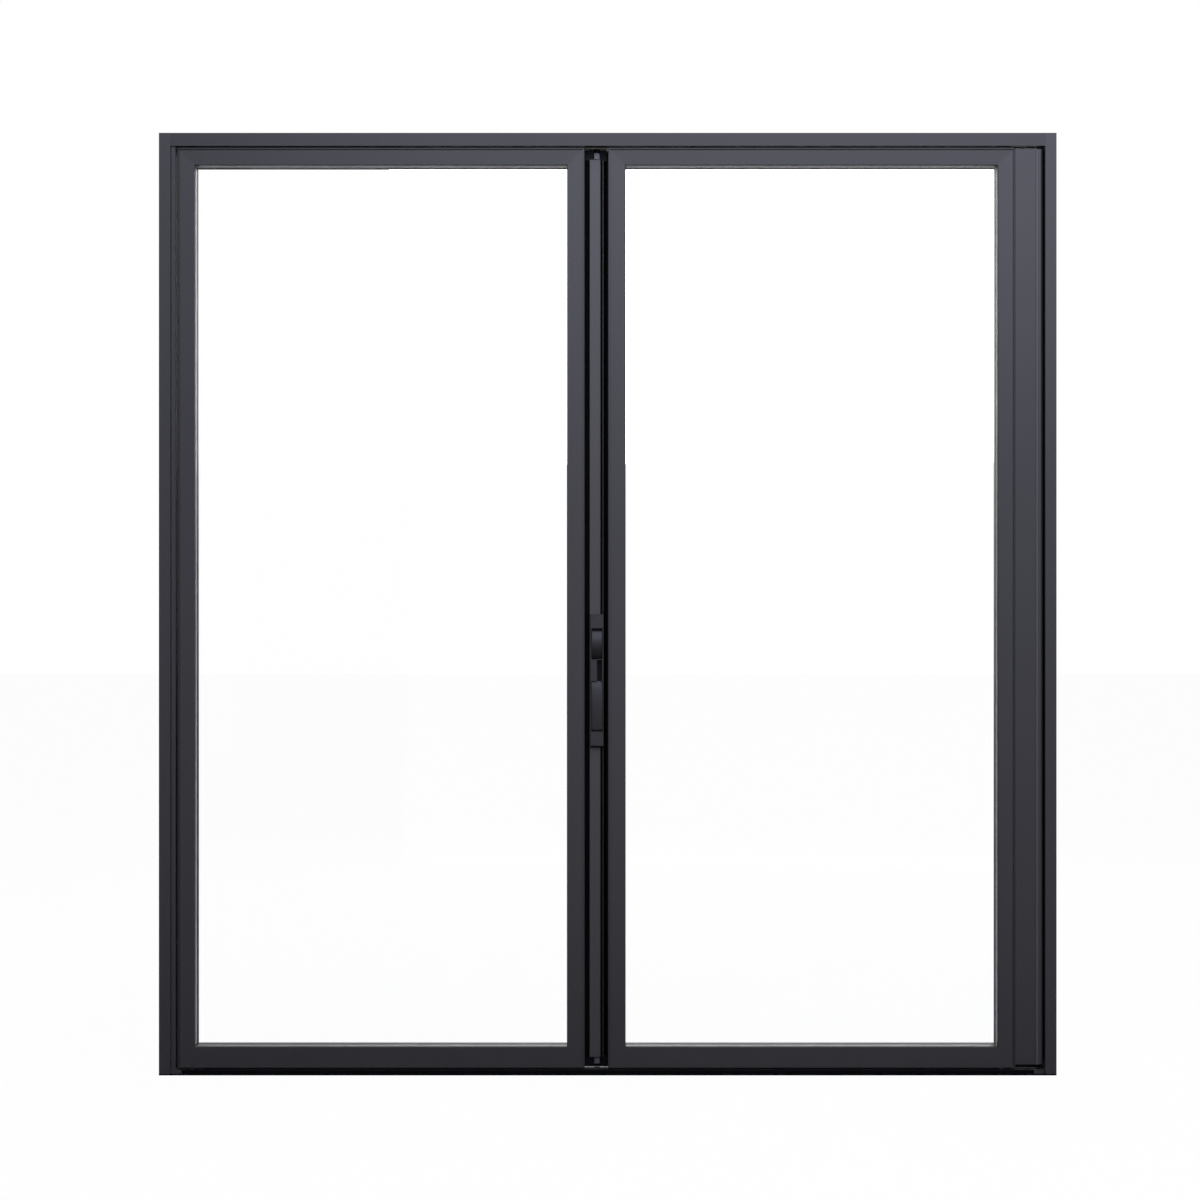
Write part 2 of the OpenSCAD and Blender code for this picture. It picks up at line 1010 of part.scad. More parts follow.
// Hollow end profile: flat face, a fine line and a round nose, flush with both faces of the leaf
module end_cover_strip() {
    nose_x = cover_end - nose_r;
    nose_y = leaf_front + nose_r;
    color(coat)
        translate([0, 0, cover_z0])
            linear_extrude(cover_z1 - cover_z0)
                difference() {
                    union() {
                        translate([end_x, leaf_front])
                            square([nose_x - end_x, nose_r]);
                        translate([end_x, nose_y])
                            square([cover_x1 - end_x, leaf_back - nose_y]);
                        translate([nose_x, nose_y])
                            circle(r = nose_r);
                    }
                    translate([end_x + cover_t, leaf_front + cover_t])
                        square([cover_x1 - end_x - 2 * cover_t, leaf_t - 2 * cover_t]);
                    translate([nose_x - nose_r - nose_line, leaf_front - cut])
                        square([2 * nose_line, nose_line + cut]);
                }
}

// Seal on the travelling leaf that closes the gap beside the lock post
module meeting_seal() {
    seal_x = 2 * fold_x - leaf_x1;
    lap_w = seal_x - post_x1 + seal_lap;
    seal_back = post_y1 + face_play + seal_t;
    color(rubber)
        translate([0, 0, leaf_z0])
            linear_extrude(leaf_h)
                union() {
                    translate([seal_x - lap_w, seal_back - seal_t])
                        square([lap_w, seal_t]);
                    translate([seal_x - seal_t, seal_back - seal_foot])
                        square([seal_t, seal_foot]);
                }
}

// Half-round seal in the lock post's step, left out where the lock sits
module post_seal() {
    seal_mid = post_x1 - post_step_w / 2;
    step_y = post_y0 + post_step_d;
    color(rubber)
        difference() {
            translate([0, 0, post_z0])
                linear_extrude(post_z1 - post_z0)
                    union() {
                        translate([seal_mid, step_y - seal_t / 2])
                            circle(r = seal_t);
                        translate([seal_mid - seal_t, step_y - seal_t / 2])
                            square([2 * seal_t, seal_t / 2]);
                    }
            span(
                [fold_x, post_y0 - post_step_d, lock_z - face_play],
                [post_x1, step_y, lock_z + plate_h + face_play]
            );
            span([fold_x, step_y, post_z0 - cut], [post_x1, post_y1, post_z1 + cut]);
        }
}

function hinge_foot(i) = leaf_z0 + hinge_end + i * hinge_pitch - hinge_h / 2;

// Plates and knuckles of one side; thirds lists which thirds of the height carry a knuckle
module hinge_side(thirds) {
    third = hinge_h / 3;
    for (i = [0:hinge_count - 1])
        translate([0, 0, hinge_foot(i)])
            difference() {
                union() {
                    span(
                        [leaf_x1 - hinge_plate_w, leaf_back, 0],
                        [fold_x - hinge_notch, leaf_back + hinge_plate_t, hinge_h]
                    );
                    for (k = thirds)
                        translate([0, 0, k * third + face_play]) {
                            translate([fold_x, hinge_y, 0])
                                cylinder(d = knuckle_d, h = third - 2 * face_play);
                            span(
                                [fold_x - hinge_notch - cut, leaf_back, 0],
                                [fold_x, leaf_back + hinge_plate_t, third - 2 * face_play]
                            );
                        }
                }
                translate([fold_x, hinge_y, -cut])
                    cylinder(d = hinge_pin_d + 2 * running_fit, h = hinge_h + 2 * cut);
            }
}

module hinge_left_plates() {
    color(zinc)
        hinge_side([0, 2]);
}

module hinge_right_plates() {
    color(zinc)
        other_leaf()
            hinge_side([1]);
}

module hinge_pins() {
    head_h = 3;
    color(steel)
        for (i = [0:hinge_count - 1])
            translate([fold_x, hinge_y, hinge_foot(i)]) {
                cylinder(d = hinge_pin_d, h = hinge_h);
                translate([0, 0, hinge_h - face_play])
                    cylinder(d = knuckle_d - 4, h = head_h);
            }
}

// Lock post: stepped hollow profile with a flange on the leaf's meeting stile
module post_section() {
    step_x = post_x1 - post_step_w;
    union() {
        difference() {
            polygon([
                [post_x0, post_y0 + edge_break],
                [post_x0 + edge_break, post_y0],
                [step_x, post_y0],
                [step_x, post_y0 + post_step_d],
                [post_x1, post_y0 + post_step_d],
                [post_x1, post_y1],
                [post_x0, post_y1]
            ]);
            polygon([
                [post_x0 + post_wall, post_y0 + post_skin],
                [step_x - post_wall, post_y0 + post_skin],
                [step_x - post_wall, post_y0 + post_step_d + post_skin],
                [post_x1 - post_wall, post_y0 + post_step_d + post_skin],
                [post_x1 - post_wall, post_y1 - post_skin],
                [post_x0 + post_wall, post_y1 - post_skin]
            ]);
        }
        translate([leaf_x1, post_y1 - post_flange_t])
            square([post_x0 - leaf_x1 + cut, post_flange_t]);
        translate([leaf_x1, post_y1 - 4 * post_flange_t])
            square([post_flange_t, 4 * post_flange_t]);
    }
}

module lock_post() {
    color(coat)
        difference() {
            translate([0, 0, post_z0])
                linear_extrude(post_z1 - post_z0)
                    post_section();
            case_front(cut);
            at_lock_screws()
                cylinder(d = lock_screw_d, h = plate_t + post_skin + cut);
        }
}

module case_front(over) {
    span(
        [lock_x - case_w / 2, post_y0 - over, case_z0],
        [lock_x + case_w / 2, post_y0 + case_d, case_z0 + case_h]
    );
}

// Hollow of the button: a window in the plate, a close guide in the case
module button_room(play) {
    room_half = lever_w / 2 + play;
    span(
        [lock_x - room_half, plate_y - cut, button_z0 - play],
        [lock_x + room_half, button_back + button_travel + cut, button_z0 + button_h + play]
    );
}

module finger_room() {
    span(
        [lock_x, plate_y - cut, pocket_z0],
        [lock_x + lever_w / 2, post_y0 + pocket_d, pocket_z0 + pocket_h]
    );
}

// Lock plate: deep bezel round lever and button, with a shallow dish beside the finger pocket
module lock_plate() {
    color(coat)
        difference() {
            span(
                [lock_x - plate_w / 2, plate_y, lock_z],
                [lock_x + plate_w / 2, post_y0, lock_z + plate_h]
            );
            button_room(window_play);
            finger_room();
            lever_room();
            span(
                [lock_x - lever_w / 2, plate_y - cut, pocket_z0],
                [lock_x + cut, plate_y + dish_d, pocket_z0 + pocket_h]
            );
            lever_bore(lever_pin_d + 2 * running_fit);
            at_lock_screws() {
                cylinder(d = lock_screw_d, h = plate_t + cut);
                translate([0, 0, -cut])
                    cylinder(d = screw_cap_d + 2 * face_play, h = edge_break + cut);
            }
        }
}

module lever_room() {
    span(
        [lock_x - lever_w / 2 - lever_play, plate_y - cut, lever_z0 - lever_play],
        [lock_x + lever_w / 2 + lever_play, post_y0 - plate_floor, pocket_z0]
    );
}

// Places of the lock screws; Z of the child points into the plate from its face
module at_lock_screws() {
    for (z = [lock_z + screw_edge, lock_z + plate_h - screw_edge])
        translate([lock_x - plate_w / 4, plate_y, z])
            rotate([-90, 0, 0])
                children();
}

module lever_bore(d) {
    translate([lock_x - plate_w, lever_axis_y, lever_axis_z])
        rotate([0, 90, 0])
            cylinder(d = d, h = 2 * plate_w);
}

module lock_case() {
    color(zinc)
        difference() {
            union() {
                case_front(0);
                span(
                    [lock_x - gear_w / 2, gear_y0 - cut, case_z0 + gear_inset],
                    [lock_x + gear_w / 2, gear_y1, case_z0 + case_h - gear_inset]
                );
            }
            button_room(button_play);
            finger_room();
            for (z = [case_z0 + gear_inset - cut, case_z0 + case_h - gear_inset - rod_in - bolt_travel])
                translate([lock_x, post_mid_y, z])
                    cylinder(d = rod_d + 2 * face_play, h = rod_in + bolt_travel + cut);
        }
}

module lock_screws() {
    color(steel)
        at_lock_screws() {
            cylinder(d = lock_screw_d - 2 * running_fit, h = plate_t + 2 * post_skin);
            cylinder(d = screw_cap_d, h = edge_break);
        }
}

// Plugs in the post's ends that guide the bolts, each with a plate that closes the gap behind the tip
module bolt_guides() {
    color(nylon)
        difference() {
            union() {
                for (z = [post_z0 - guide_lip, post_z1 - guide_h])
                    span(
                        [post_x0 + post_wall, post_mid_y - gear_half, z],
                        [post_x1 - post_wall, post_mid_y + gear_half, z + guide_h + guide_lip]
                    );
                for (ends = [[sill_h + face_play, post_z0], [post_z1, head_z - face_play]])
                    span(
                        [leaf_x1, post_mid_y + guide_lip, ends[0]],
                        [leaf_x1 + meeting_gap - seal_t - face_play, post_mid_y + gear_half, ends[1]]
                    );
            }
            translate([lock_x, post_mid_y, post_z0 - 2 * tip_out])
                cylinder(d = bolt_d + 2 * running_fit, h = post_z1 - post_z0 + 4 * tip_out);
        }
}

module lever_pin() {
    pin_l = plate_w - lever_play;
    color(steel)
        translate([lock_x - pin_l / 2, lever_axis_y, lever_axis_z])
            rotate([0, 90, 0])
                cylinder(d = lever_pin_d, h = pin_l);
}

// Lever: flat bar, round at its foot about the pin, with one rounded top corner
module lever() {
    color(coat)
        difference() {
            union() {
                translate([lock_x - lever_w / 2, lever_axis_y, lever_axis_z])
                    rotate([0, 90, 0])
                        cylinder(d = lever_t, h = lever_w);
                translate([lock_x - lever_w / 2, lever_y0 + lever_t, lever_axis_z])
                    rotate([90, 0, 0])
                        linear_extrude(lever_t)
                            lever_face();
            }
            lever_bore(lever_pin_d + 2 * running_fit);
        }
}

module lever_face() {
    high = lever_z0 + lever_h - lever_axis_z - face_play;
    square([lever_w - lever_round, high]);
    square([lever_w, high - lever_round]);
    translate([lever_w - lever_round, high - lever_round])
        circle(r = lever_round);
}

// Push button with a barrel-shaped front
module push_button() {
    color(coat)
        intersection() {
            span(
                [lock_x - lever_w / 2, button_y0, button_z0],
                [lock_x + lever_w / 2, button_back, button_z0 + button_h]
            );
            translate([lock_x - lever_w, button_y0 + button_bulge, button_z0 + button_h / 2])
                rotate([0, 90, 0])
                    cylinder(r = button_bulge, h = 2 * lever_w, $fn = 128);
        }
}

// Shoot bolt of the upper half: turned tip and a slim rod down into the lock case
module top_bolt() {
    rod_z = case_z0 + case_h - gear_inset - rod_in;
    tip_z = post_z1 + tip_out;
    color(steel)
        translate([lock_x, post_mid_y, 0]) {
            translate([0, 0, rod_z])
                cylinder(d = rod_d, h = tip_z - tip_l - rod_z + cut);
            translate([0, 0, tip_z - tip_l])
                cylinder(d = bolt_d, h = tip_l);
        }
}

module bottom_bolt() {
    rod_z = case_z0 + gear_inset + rod_in;
    tip_z = post_z0 - tip_out;
    color(steel)
        translate([lock_x, post_mid_y, 0]) {
            translate([0, 0, tip_z + tip_l - cut])
                cylinder(d = rod_d, h = rod_z - tip_z - tip_l + cut);
            translate([0, 0, tip_z])
                cylinder(d = bolt_d, h = tip_l);
        }
}

// Carriage in the head track
module carriage_body() {
    half_l = wheelbase / 2 + wheel_d / 2 + 4;
    color(zinc)
        difference() {
            span(
                [carriage_x - half_l, track_y - wheel_in + 1, head_z + frame_wall + 1],
                [carriage_x + half_l, track_y + wheel_in - 1, frame_h - 2 * frame_wall]
            );
            for (side = [-1, 1])
                axle_bore(side, axle_d + 2 * running_fit, 2 * track_half);
            other_leaf()
                pivot_bore(pivot_d + 2 * running_fit, head_z, frame_h);
        }
}

module axle_bore(side, d, l) {
    translate([carriage_x + side * wheelbase / 2, track_y + l / 2, axle_z])
        rotate([90, 0, 0])
            cylinder(d = d, h = l);
}

// Bolt that hangs the leaf: nut on the carriage, head inside the hanger block
module carriage_bolt() {
    head_z0 = leaf_z1 - socket_top_h + face_play;
    nut_h = frame_wall - 2 * face_play;
    color(steel)
        other_leaf() {
            pivot_bore(pivot_d, head_z0, frame_h - 2 * frame_wall);
            pivot_bore(bolt_head_d, head_z0, head_z0 + bolt_head_h);
            pivot_bore(pivot_d + 6, frame_h - 2 * frame_wall, frame_h - 2 * frame_wall + nut_h);
        }
}

module wheelset(side) {
    wide = 2 * (wheel_in + wheel_w);
    axle_bore(side, axle_d, wide);
    for (hub = [-1, 1])
        translate([0, hub * (wheel_in + wheel_w / 2), 0])
            axle_bore(side, wheel_d, wheel_w);
}

module front_wheelset() {
    color(steel)
        wheelset(1);
}

module rear_wheelset() {
    color(steel)
        wheelset(-1);
}

head();
sill();
left_jamb();
right_jamb();
pivot_side_filler();
sill_front_strip();
sill_end_blocks();
frame_screws();
right_jamb_seal();
top_pivot_block();
bottom_pivot_block();
jamb_pivot_pins();
bolt_keepers();
left_pivot_stile();
left_meeting_stile();
left_top_rail();
left_bottom_rail();
left_glazing_beads();
left_gaskets();
left_outer_pane();
left_inner_pane();
left_spacer();
left_setting_blocks();
left_corner_cleats();
left_pivot_sockets();
right_end_stile();
right_meeting_stile();
right_top_rail();
right_bottom_rail();
right_glazing_beads();
right_gaskets();
right_outer_pane();
right_inner_pane();
right_spacer();
right_setting_blocks();
right_corner_cleats();
hanger_block();
guide_block();
guide_pin();
end_cover_strip();
meeting_seal();
post_seal();
hinge_left_plates();
hinge_right_plates();
hinge_pins();
lock_post();
lock_plate();
lock_case();
lock_screws();
bolt_guides();
lever_pin();
lever();
push_button();
top_bolt();
bottom_bolt();
carriage_body();
carriage_bolt();
front_wheelset();
rear_wheelset();
guide_roller();
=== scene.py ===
"""Two-leaf glazed folding door in charcoal powder coat, set up for a studio view from the front."""

import json
import logging
import math
from contextlib import contextmanager
from dataclasses import dataclass, field
from enum import Enum
from typing import Any, Callable, Iterable, Iterator

import bmesh
import bpy
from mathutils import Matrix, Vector


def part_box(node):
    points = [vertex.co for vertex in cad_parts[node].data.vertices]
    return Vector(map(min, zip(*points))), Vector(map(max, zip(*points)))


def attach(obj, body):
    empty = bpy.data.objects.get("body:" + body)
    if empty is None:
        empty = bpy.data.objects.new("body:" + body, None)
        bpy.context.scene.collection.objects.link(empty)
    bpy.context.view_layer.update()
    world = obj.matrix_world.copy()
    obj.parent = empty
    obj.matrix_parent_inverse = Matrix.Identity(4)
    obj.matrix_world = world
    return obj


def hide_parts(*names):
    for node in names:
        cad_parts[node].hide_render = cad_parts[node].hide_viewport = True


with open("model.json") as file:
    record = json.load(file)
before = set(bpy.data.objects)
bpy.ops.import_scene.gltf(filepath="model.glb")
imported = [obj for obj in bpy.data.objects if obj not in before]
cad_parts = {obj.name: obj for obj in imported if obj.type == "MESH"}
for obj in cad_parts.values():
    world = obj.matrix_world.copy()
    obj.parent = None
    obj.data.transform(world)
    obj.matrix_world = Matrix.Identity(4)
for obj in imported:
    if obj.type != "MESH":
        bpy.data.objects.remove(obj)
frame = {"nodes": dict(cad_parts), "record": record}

log = logging.getLogger("folding_door")

MM = 0.001
TOUCH = 0.01 * MM
ALIGNED = 0.9
NEARLY = 0.98
Colour = tuple[float, float, float, float]
Point = tuple[float, float, float]
Pair = tuple[float, float]
Test = Callable[[Vector, Vector], bool]


def grey(level: float) -> Colour:
    """Makes a neutral colour.

    Args:
        level: Its level from 0 to 1.

    Returns:
        The opaque colour.
    """
    return (level, level, level, 1.0)


def centre(node: str) -> Point:
    """Finds the middle of a solid's box.

    Args:
        node: Name of the solid.

    Returns:
        The middle.
    """
    return tuple((low + high) / 2 for low, high in zip(*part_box(node)))


class Slot(Enum):
    """Material slots of the door, by their names in the record."""

    COAT = "coated_aluminium"
    RUBBER = "black_rubber"
    GLASS = "clear_glass"
    STEEL = "plain_steel"
    CAST = "cast_fittings"
    MILL = "bare_aluminium"
    NYLON = "nylon"


class Shade(Enum):
    """Shades of the coat: a factor on its colour and its specular level. The lock's parts get darker
    copies; the rail, post, bead and pale shades are painted shade and light.
    """

    PLAIN = (1.0, 0.5)
    # Painted shade: a darker copy for the head and top rails, which dims the lamp's sheen at the top of the
    # door.
    RAIL = (0.88, 0.44)
    # Painted light: a lighter copy for the lock post, which would otherwise look too dark in its recess.
    POST = (1.6, 0.55)
    # Painted highlight: a much lighter copy for the end cover's bead, drawn as a bright line.
    BEAD = (2.4, 0.6)
    BEZEL = (0.8, 0.4)
    LOCK = (0.58, 0.3)
    # Painted light: a near-white copy for the strip under the head, which stands for bounce light on the
    # soffit.
    PALE = (42.0, 0.5)


class Part(Enum):
    """What a selection in edit mode picks."""

    FACES = "FACE"
    EDGES = "EDGE"


class Cut(Enum):
    """How a tool body acts on the workpiece."""

    TAKE = "DIFFERENCE"
    WELD = "UNION"


@dataclass(eq=False)
class Value:
    """An output socket of a shader graph that takes part in Python expressions."""

    graph: "NodeGraph"
    socket: bpy.types.NodeSocket | None

    def _math(self, operation: str, first: Any, second: Any) -> "Value":
        """Adds a Math node for two numbers or values."""
        return self.graph.add("ShaderNodeMath", {"operation": operation}, {0: first, 1: second})

    def __add__(self, other: Any) -> "Value":
        """Sum."""
        return self._math("ADD", self, other)

    def __radd__(self, other: Any) -> "Value":
        """Sum with a number in front."""
        return self._math("ADD", other, self)

    def __sub__(self, other: Any) -> "Value":
        """Difference."""
        return self._math("SUBTRACT", self, other)

    def __rsub__(self, other: Any) -> "Value":
        """Difference from a number."""
        return self._math("SUBTRACT", other, self)

    def __mul__(self, other: Any) -> "Value":
        """Product."""
        return self._math("MULTIPLY", self, other)

    def swing(self, amount: float) -> "Value":
        """Centres a noise on 0.

        Args:
            amount: Whole width of the swing.

        Returns:
            The centred noise.
        """
        return (self - 0.5) * amount

    def ramp(self, low: float, high: float) -> "Value":
        """Eases from 0 at low to 1 at high.

        Args:
            low: Value that gives 0.
            high: Value that gives 1.

        Returns:
            The eased value.
        """
        return self.graph.add(
            "ShaderNodeMapRange",
            {"interpolation_type": "SMOOTHSTEP"},
            {"Value": self, "From Min": low, "From Max": high},
        )


@dataclass(eq=False)
class NodeGraph:
    """Node tree of one material or of the world, emptied and filled again."""

    tree: bpy.types.NodeTree

    def __post_init__(self) -> None:
        """Empties the tree."""
        self.tree.nodes.clear()

    def add(
        self,
        kind: str,
        settings: dict[str, Any] | None = None,
        inputs: dict[Any, Any] | None = None,
        out: Any = 0,
    ) -> Value:
        """Makes a node, sets it and links it.

        Args:
            kind: Type of the node.
            settings: Properties of the node.
            inputs: Values or links by socket name or number.
            out: Name or number of the output that is returned.

        Returns:
            The chosen output.
        """
        node = self.tree.nodes.new(kind)
        for name, value in (settings or {}).items():
            setattr(node, name, value)
        for name, value in (inputs or {}).items():
            if isinstance(value, Value):
                self.tree.links.new(value.socket, node.inputs[name])
            else:
                node.inputs[name].default_value = value
        return Value(self, node.outputs[out]) if node.outputs else Value(self, None)

    def place(self) -> Value:
        """Coordinates of the piece in the door's own frame."""
        return self.add("ShaderNodeTexCoord", out="Object")

    def seen(self) -> Value:
        """1 for rays from the eye, straight or through glass, and 0 for all others."""
        eye, through = (
            self.add("ShaderNodeLightPath", out=f"Is {kind} Ray") for kind in ("Camera", "Transmission")
        )
        return self.add("ShaderNodeMath", {"operation": "MAXIMUM"}, {0: eye, 1: through})

    def stretched(self, scale: Point) -> Value:
        """Coordinates drawn out along the axes.

        Args:
            scale: Factor along each axis.

        Returns:
            The drawn-out coordinates.
        """
        return self.add("ShaderNodeMapping", None, {"Vector": self.place(), "Scale": scale})

    def noise(self, where: Value, scale: float, detail: float = 2.0, rough: float = 0.5) -> Value:
        """Soft noise from 0 to 1.

        Args:
            where: Coordinates.
            scale: Number of cells per metre.
            detail: Number of octaves.
            rough: Weight of the finer octaves.

        Returns:
            The noise.
        """
        return self.add(
            "ShaderNodeTexNoise",
            None,
            {"Vector": where, "Scale": scale, "Detail": detail, "Roughness": rough},
            "Fac",
        )

    def blend(self, share: Any, first: Any, second: Any) -> Value:
        """Mixes two colours.

        Args:
            share: Share of the second colour.
            first: Colour at 0.
            second: Colour at 1.

        Returns:
            The mixed colour.
        """
        return self.add("ShaderNodeMix", {"data_type": "RGBA"}, {0: share, 6: first, 7: second}, 2)

    def bump(self, height: Value, strength: float, distance: float) -> Value:
        """Turns a height into a normal.

        Args:
            height: Height from 0 to 1.
            strength: Strength of the effect.
            distance: Depth of the relief in metres.

        Returns:
            The normal.
        """
        return self.add(
            "ShaderNodeBump",
            None,
            {"Height": height, "Strength": strength, "Distance": distance},
        )

    def surface(self, constants: dict[str, Any], links: dict[str, Value]) -> None:
        """Ends the graph in a principled surface.

        Args:
            constants: Sockets that are the same all over.
            links: Sockets that change over the surface.
        """
        shader = self.add("ShaderNodeBsdfPrincipled", None, {**constants, **links})
        self.add("ShaderNodeOutputMaterial", None, {"Surface": shader})


@dataclass(frozen=True)
class Finish:
    """A finish of the door."""

    title: str

    def paint(self, graph: NodeGraph) -> None:
        """Fills the material's graph.

        Args:
            graph: The graph to fill.
        """
        raise NotImplementedError

    def material(self) -> bpy.types.Material:
        """Makes the finish's material.

        Returns:
            The new material.
        """
        material = bpy.data.materials.new(self.title)
        material.use_nodes = True
        self.paint(NodeGraph(material.node_tree))
        return material


@dataclass(frozen=True)
class PowderCoat(Finish):
    """Satin powder coat with a fine orange peel."""

    shade: Shade = Shade.PLAIN
    dark: float = 0.0175
    light: float = 0.0238
    tint: Point = (1.12, 1.06, 0.84)
    roughness: float = 0.37
    drift_cells: float = 2.3
    peel_cells: float = 520.0
    grain_cells: float = 2600.0
    peel_strength: float = 0.22
    peel_deep: float = 0.12 * MM

    def paint(self, graph: NodeGraph) -> None:
        """Lays a drifting tone, a grain and a peel over the metal."""
        where = graph.place()
        drift = graph.noise(where, self.drift_cells)
        grain = graph.noise(where, self.grain_cells, 1.0)
        peel = graph.noise(where, self.peel_cells, 2.0, 0.4)
        tone = drift * 0.5 + grain * 0.5
        # The shade's factor scales the colour; the rail, post, bead and pale shades paint shade and light
        # this way.
        factor, specular = self.shade.value
        dark, light = (
            (*(level * factor * share for share in self.tint), 1.0)
            for level in (self.dark, self.light)
        )
        graph.surface(
            {"IOR": 1.5, "Specular IOR Level": specular},
            {
                "Base Color": graph.blend(tone, dark, light),
                "Roughness": self.roughness + grain.swing(0.10) + drift.swing(0.05),
                "Normal": graph.bump(peel * 0.75 + grain * 0.25, self.peel_strength, self.peel_deep),
            },
        )


@dataclass(frozen=True)
class BlackRubber(Finish):
    """Matt weather rubber with a faint bloom."""

    # The black is deeper than rubber's own, painted shade for the gaps and bands where these strips sit.
    deep: Colour = grey(0.0008)
    bloom: Colour = (0.0024, 0.0024, 0.0025, 1.0)
    roughness: float = 0.66
    bloom_drawn: Point = (3.0, 3.0, 0.6)
    bloom_cells: float = 9.0
    skin_cells: float = 1500.0
    skin_deep: float = 0.1 * MM

    def paint(self, graph: NodeGraph) -> None:
        """Lays a bloom and a fine skin over the black."""
        drift = graph.noise(graph.stretched(self.bloom_drawn), self.bloom_cells, 3.0)
        skin = graph.noise(graph.place(), self.skin_cells)
        graph.surface(
            {"IOR": 1.45, "Specular IOR Level": 0.06},
            {
                "Base Color": graph.blend(drift.ramp(0.35, 0.75), self.deep, self.bloom),
                "Roughness": self.roughness + drift.swing(0.2) + skin.swing(0.1),
                "Normal": graph.bump(skin, 0.25, self.skin_deep),
            },
        )


@dataclass(frozen=True)
class ClearGlass(Finish):
    """Low-iron float glass, clean but for a trace of haze."""

    clear: Colour = grey(1.0)
    haze: Colour = (0.99, 0.995, 0.993, 1.0)
    ior: float = 1.16
    haze_cells: float = 1.7

    def paint(self, graph: NodeGraph) -> None:
        """Lays a trace of haze over clear glass."""
        drift = graph.noise(graph.place(), self.haze_cells, 3.0)
        graph.surface(
            {"Transmission Weight": 1.0, "IOR": self.ior, "Specular IOR Level": 0.5},
            {
                "Base Color": graph.blend(drift.ramp(0.55, 0.95), self.clear, self.haze),
                "Roughness": drift.ramp(0.6, 1.0) * 0.01,
            },
        )


@dataclass(frozen=True)
class BrushedMetal(Finish):
    """Bare metal with drawn lines along its length."""

    dark: Colour
    light: Colour
    metallic: float
    roughness: float
    along: Point
    line_cells: float = 900.0
    dull_cells: float = 24.0
    line_deep: float = 0.06 * MM

    def paint(self, graph: NodeGraph) -> None:
        """Draws lines along the metal and dulls it in patches."""
        lines = graph.noise(graph.stretched(self.along), self.line_cells, 3.0, 0.6)
        dull = graph.noise(graph.place(), self.dull_cells, 3.0)
        graph.surface(
            {"Metallic": self.metallic},
            {
                "Base Color": graph.blend(lines * 0.6 + dull * 0.4, self.dark, self.light),
                "Roughness": self.roughness + lines.swing(0.16) + dull.swing(0.14),
                "Normal": graph.bump(lines, 0.18, self.line_deep),
            },
        )


@dataclass(frozen=True)
class CastMetal(Finish):
    """Die-cast fitting, blackened and slightly grainy."""

    dark: Colour = (0.035, 0.035, 0.038, 1.0)
    light: Colour = (0.075, 0.075, 0.08, 1.0)
    roughness: float = 0.46
    grain_cells: float = 1300.0
    flow_cells: float = 55.0
    grain_deep: float = 0.12 * MM

    def paint(self, graph: NodeGraph) -> None:
        """Lays a cast grain and flow marks over dark metal."""
        where = graph.place()
        grain = graph.noise(where, self.grain_cells, 3.0, 0.6)
        flow = graph.noise(where, self.flow_cells, 3.0)
        graph.surface(
            {"Metallic": 0.6},
            {
                "Base Color": graph.blend(flow * 0.7 + grain * 0.3, self.dark, self.light),
                "Roughness": self.roughness + flow.swing(0.2),
                "Normal": graph.bump(grain, 0.3, self.grain_deep),
            },
        )


@dataclass(frozen=True)
class MouldedNylon(Finish):
    """Black moulded nylon with a spark-eroded texture."""

    # The black is deeper than nylon's own, painted shade for the gaps where these parts show.
    deep: Colour = (0.0018, 0.0018, 0.002, 1.0)
    pale: Colour = (0.0045, 0.0045, 0.005, 1.0)
    roughness: float = 0.44
    texture_cells: float = 1900.0
    drift_cells: float = 30.0
    texture_deep: float = 0.08 * MM

    def paint(self, graph: NodeGraph) -> None:
        """Lays a fine moulded texture over black."""
        where = graph.place()
        texture = graph.noise(where, self.texture_cells)
        drift = graph.noise(where, self.drift_cells)
        graph.surface(
            {"IOR": 1.5, "Specular IOR Level": 0.15},
            {
                "Base Color": graph.blend(texture * 0.5 + drift * 0.5, self.deep, self.pale),
                "Roughness": self.roughness + texture.swing(0.2),
                "Normal": graph.bump(texture, 0.3, self.texture_deep),
            },
        )


@dataclass(frozen=True)
class PaleFloor(Finish):
    """Floor that is pale to the eye and dimmer to the light that it throws back."""

    white: Colour = grey(1.0)
    pale: Colour = grey(0.92)
    dim: Colour = grey(0.22)
    near: Colour = grey(0.2)
    reach: Pair = (1.5, 9.0)
    glow: float = 0.96

    def paint(self, graph: NodeGraph) -> None:
        """Glows where it is seen, so that only the shadow stands out."""
        seen = graph.seen()
        mirrored = graph.add("ShaderNodeLightPath", out="Is Glossy Ray")
        ahead = graph.add("ShaderNodeSeparateXYZ", None, {0: graph.place()}, "Y") * -1.0
        deep = graph.blend(ahead.ramp(*self.reach), self.near, self.white)
        tone = graph.blend(seen, graph.blend(mirrored, self.dim, deep), self.pale)
        lit = graph.add("ShaderNodeBsdfDiffuse", None, {"Color": tone})
        glow = graph.add("ShaderNodeEmission", None, {"Color": self.white, "Strength": 1.0})
        both = graph.add("ShaderNodeMixShader", None, {0: seen * self.glow, 1: lit, 2: glow})
        graph.add("ShaderNodeOutputMaterial", None, {"Surface": both})


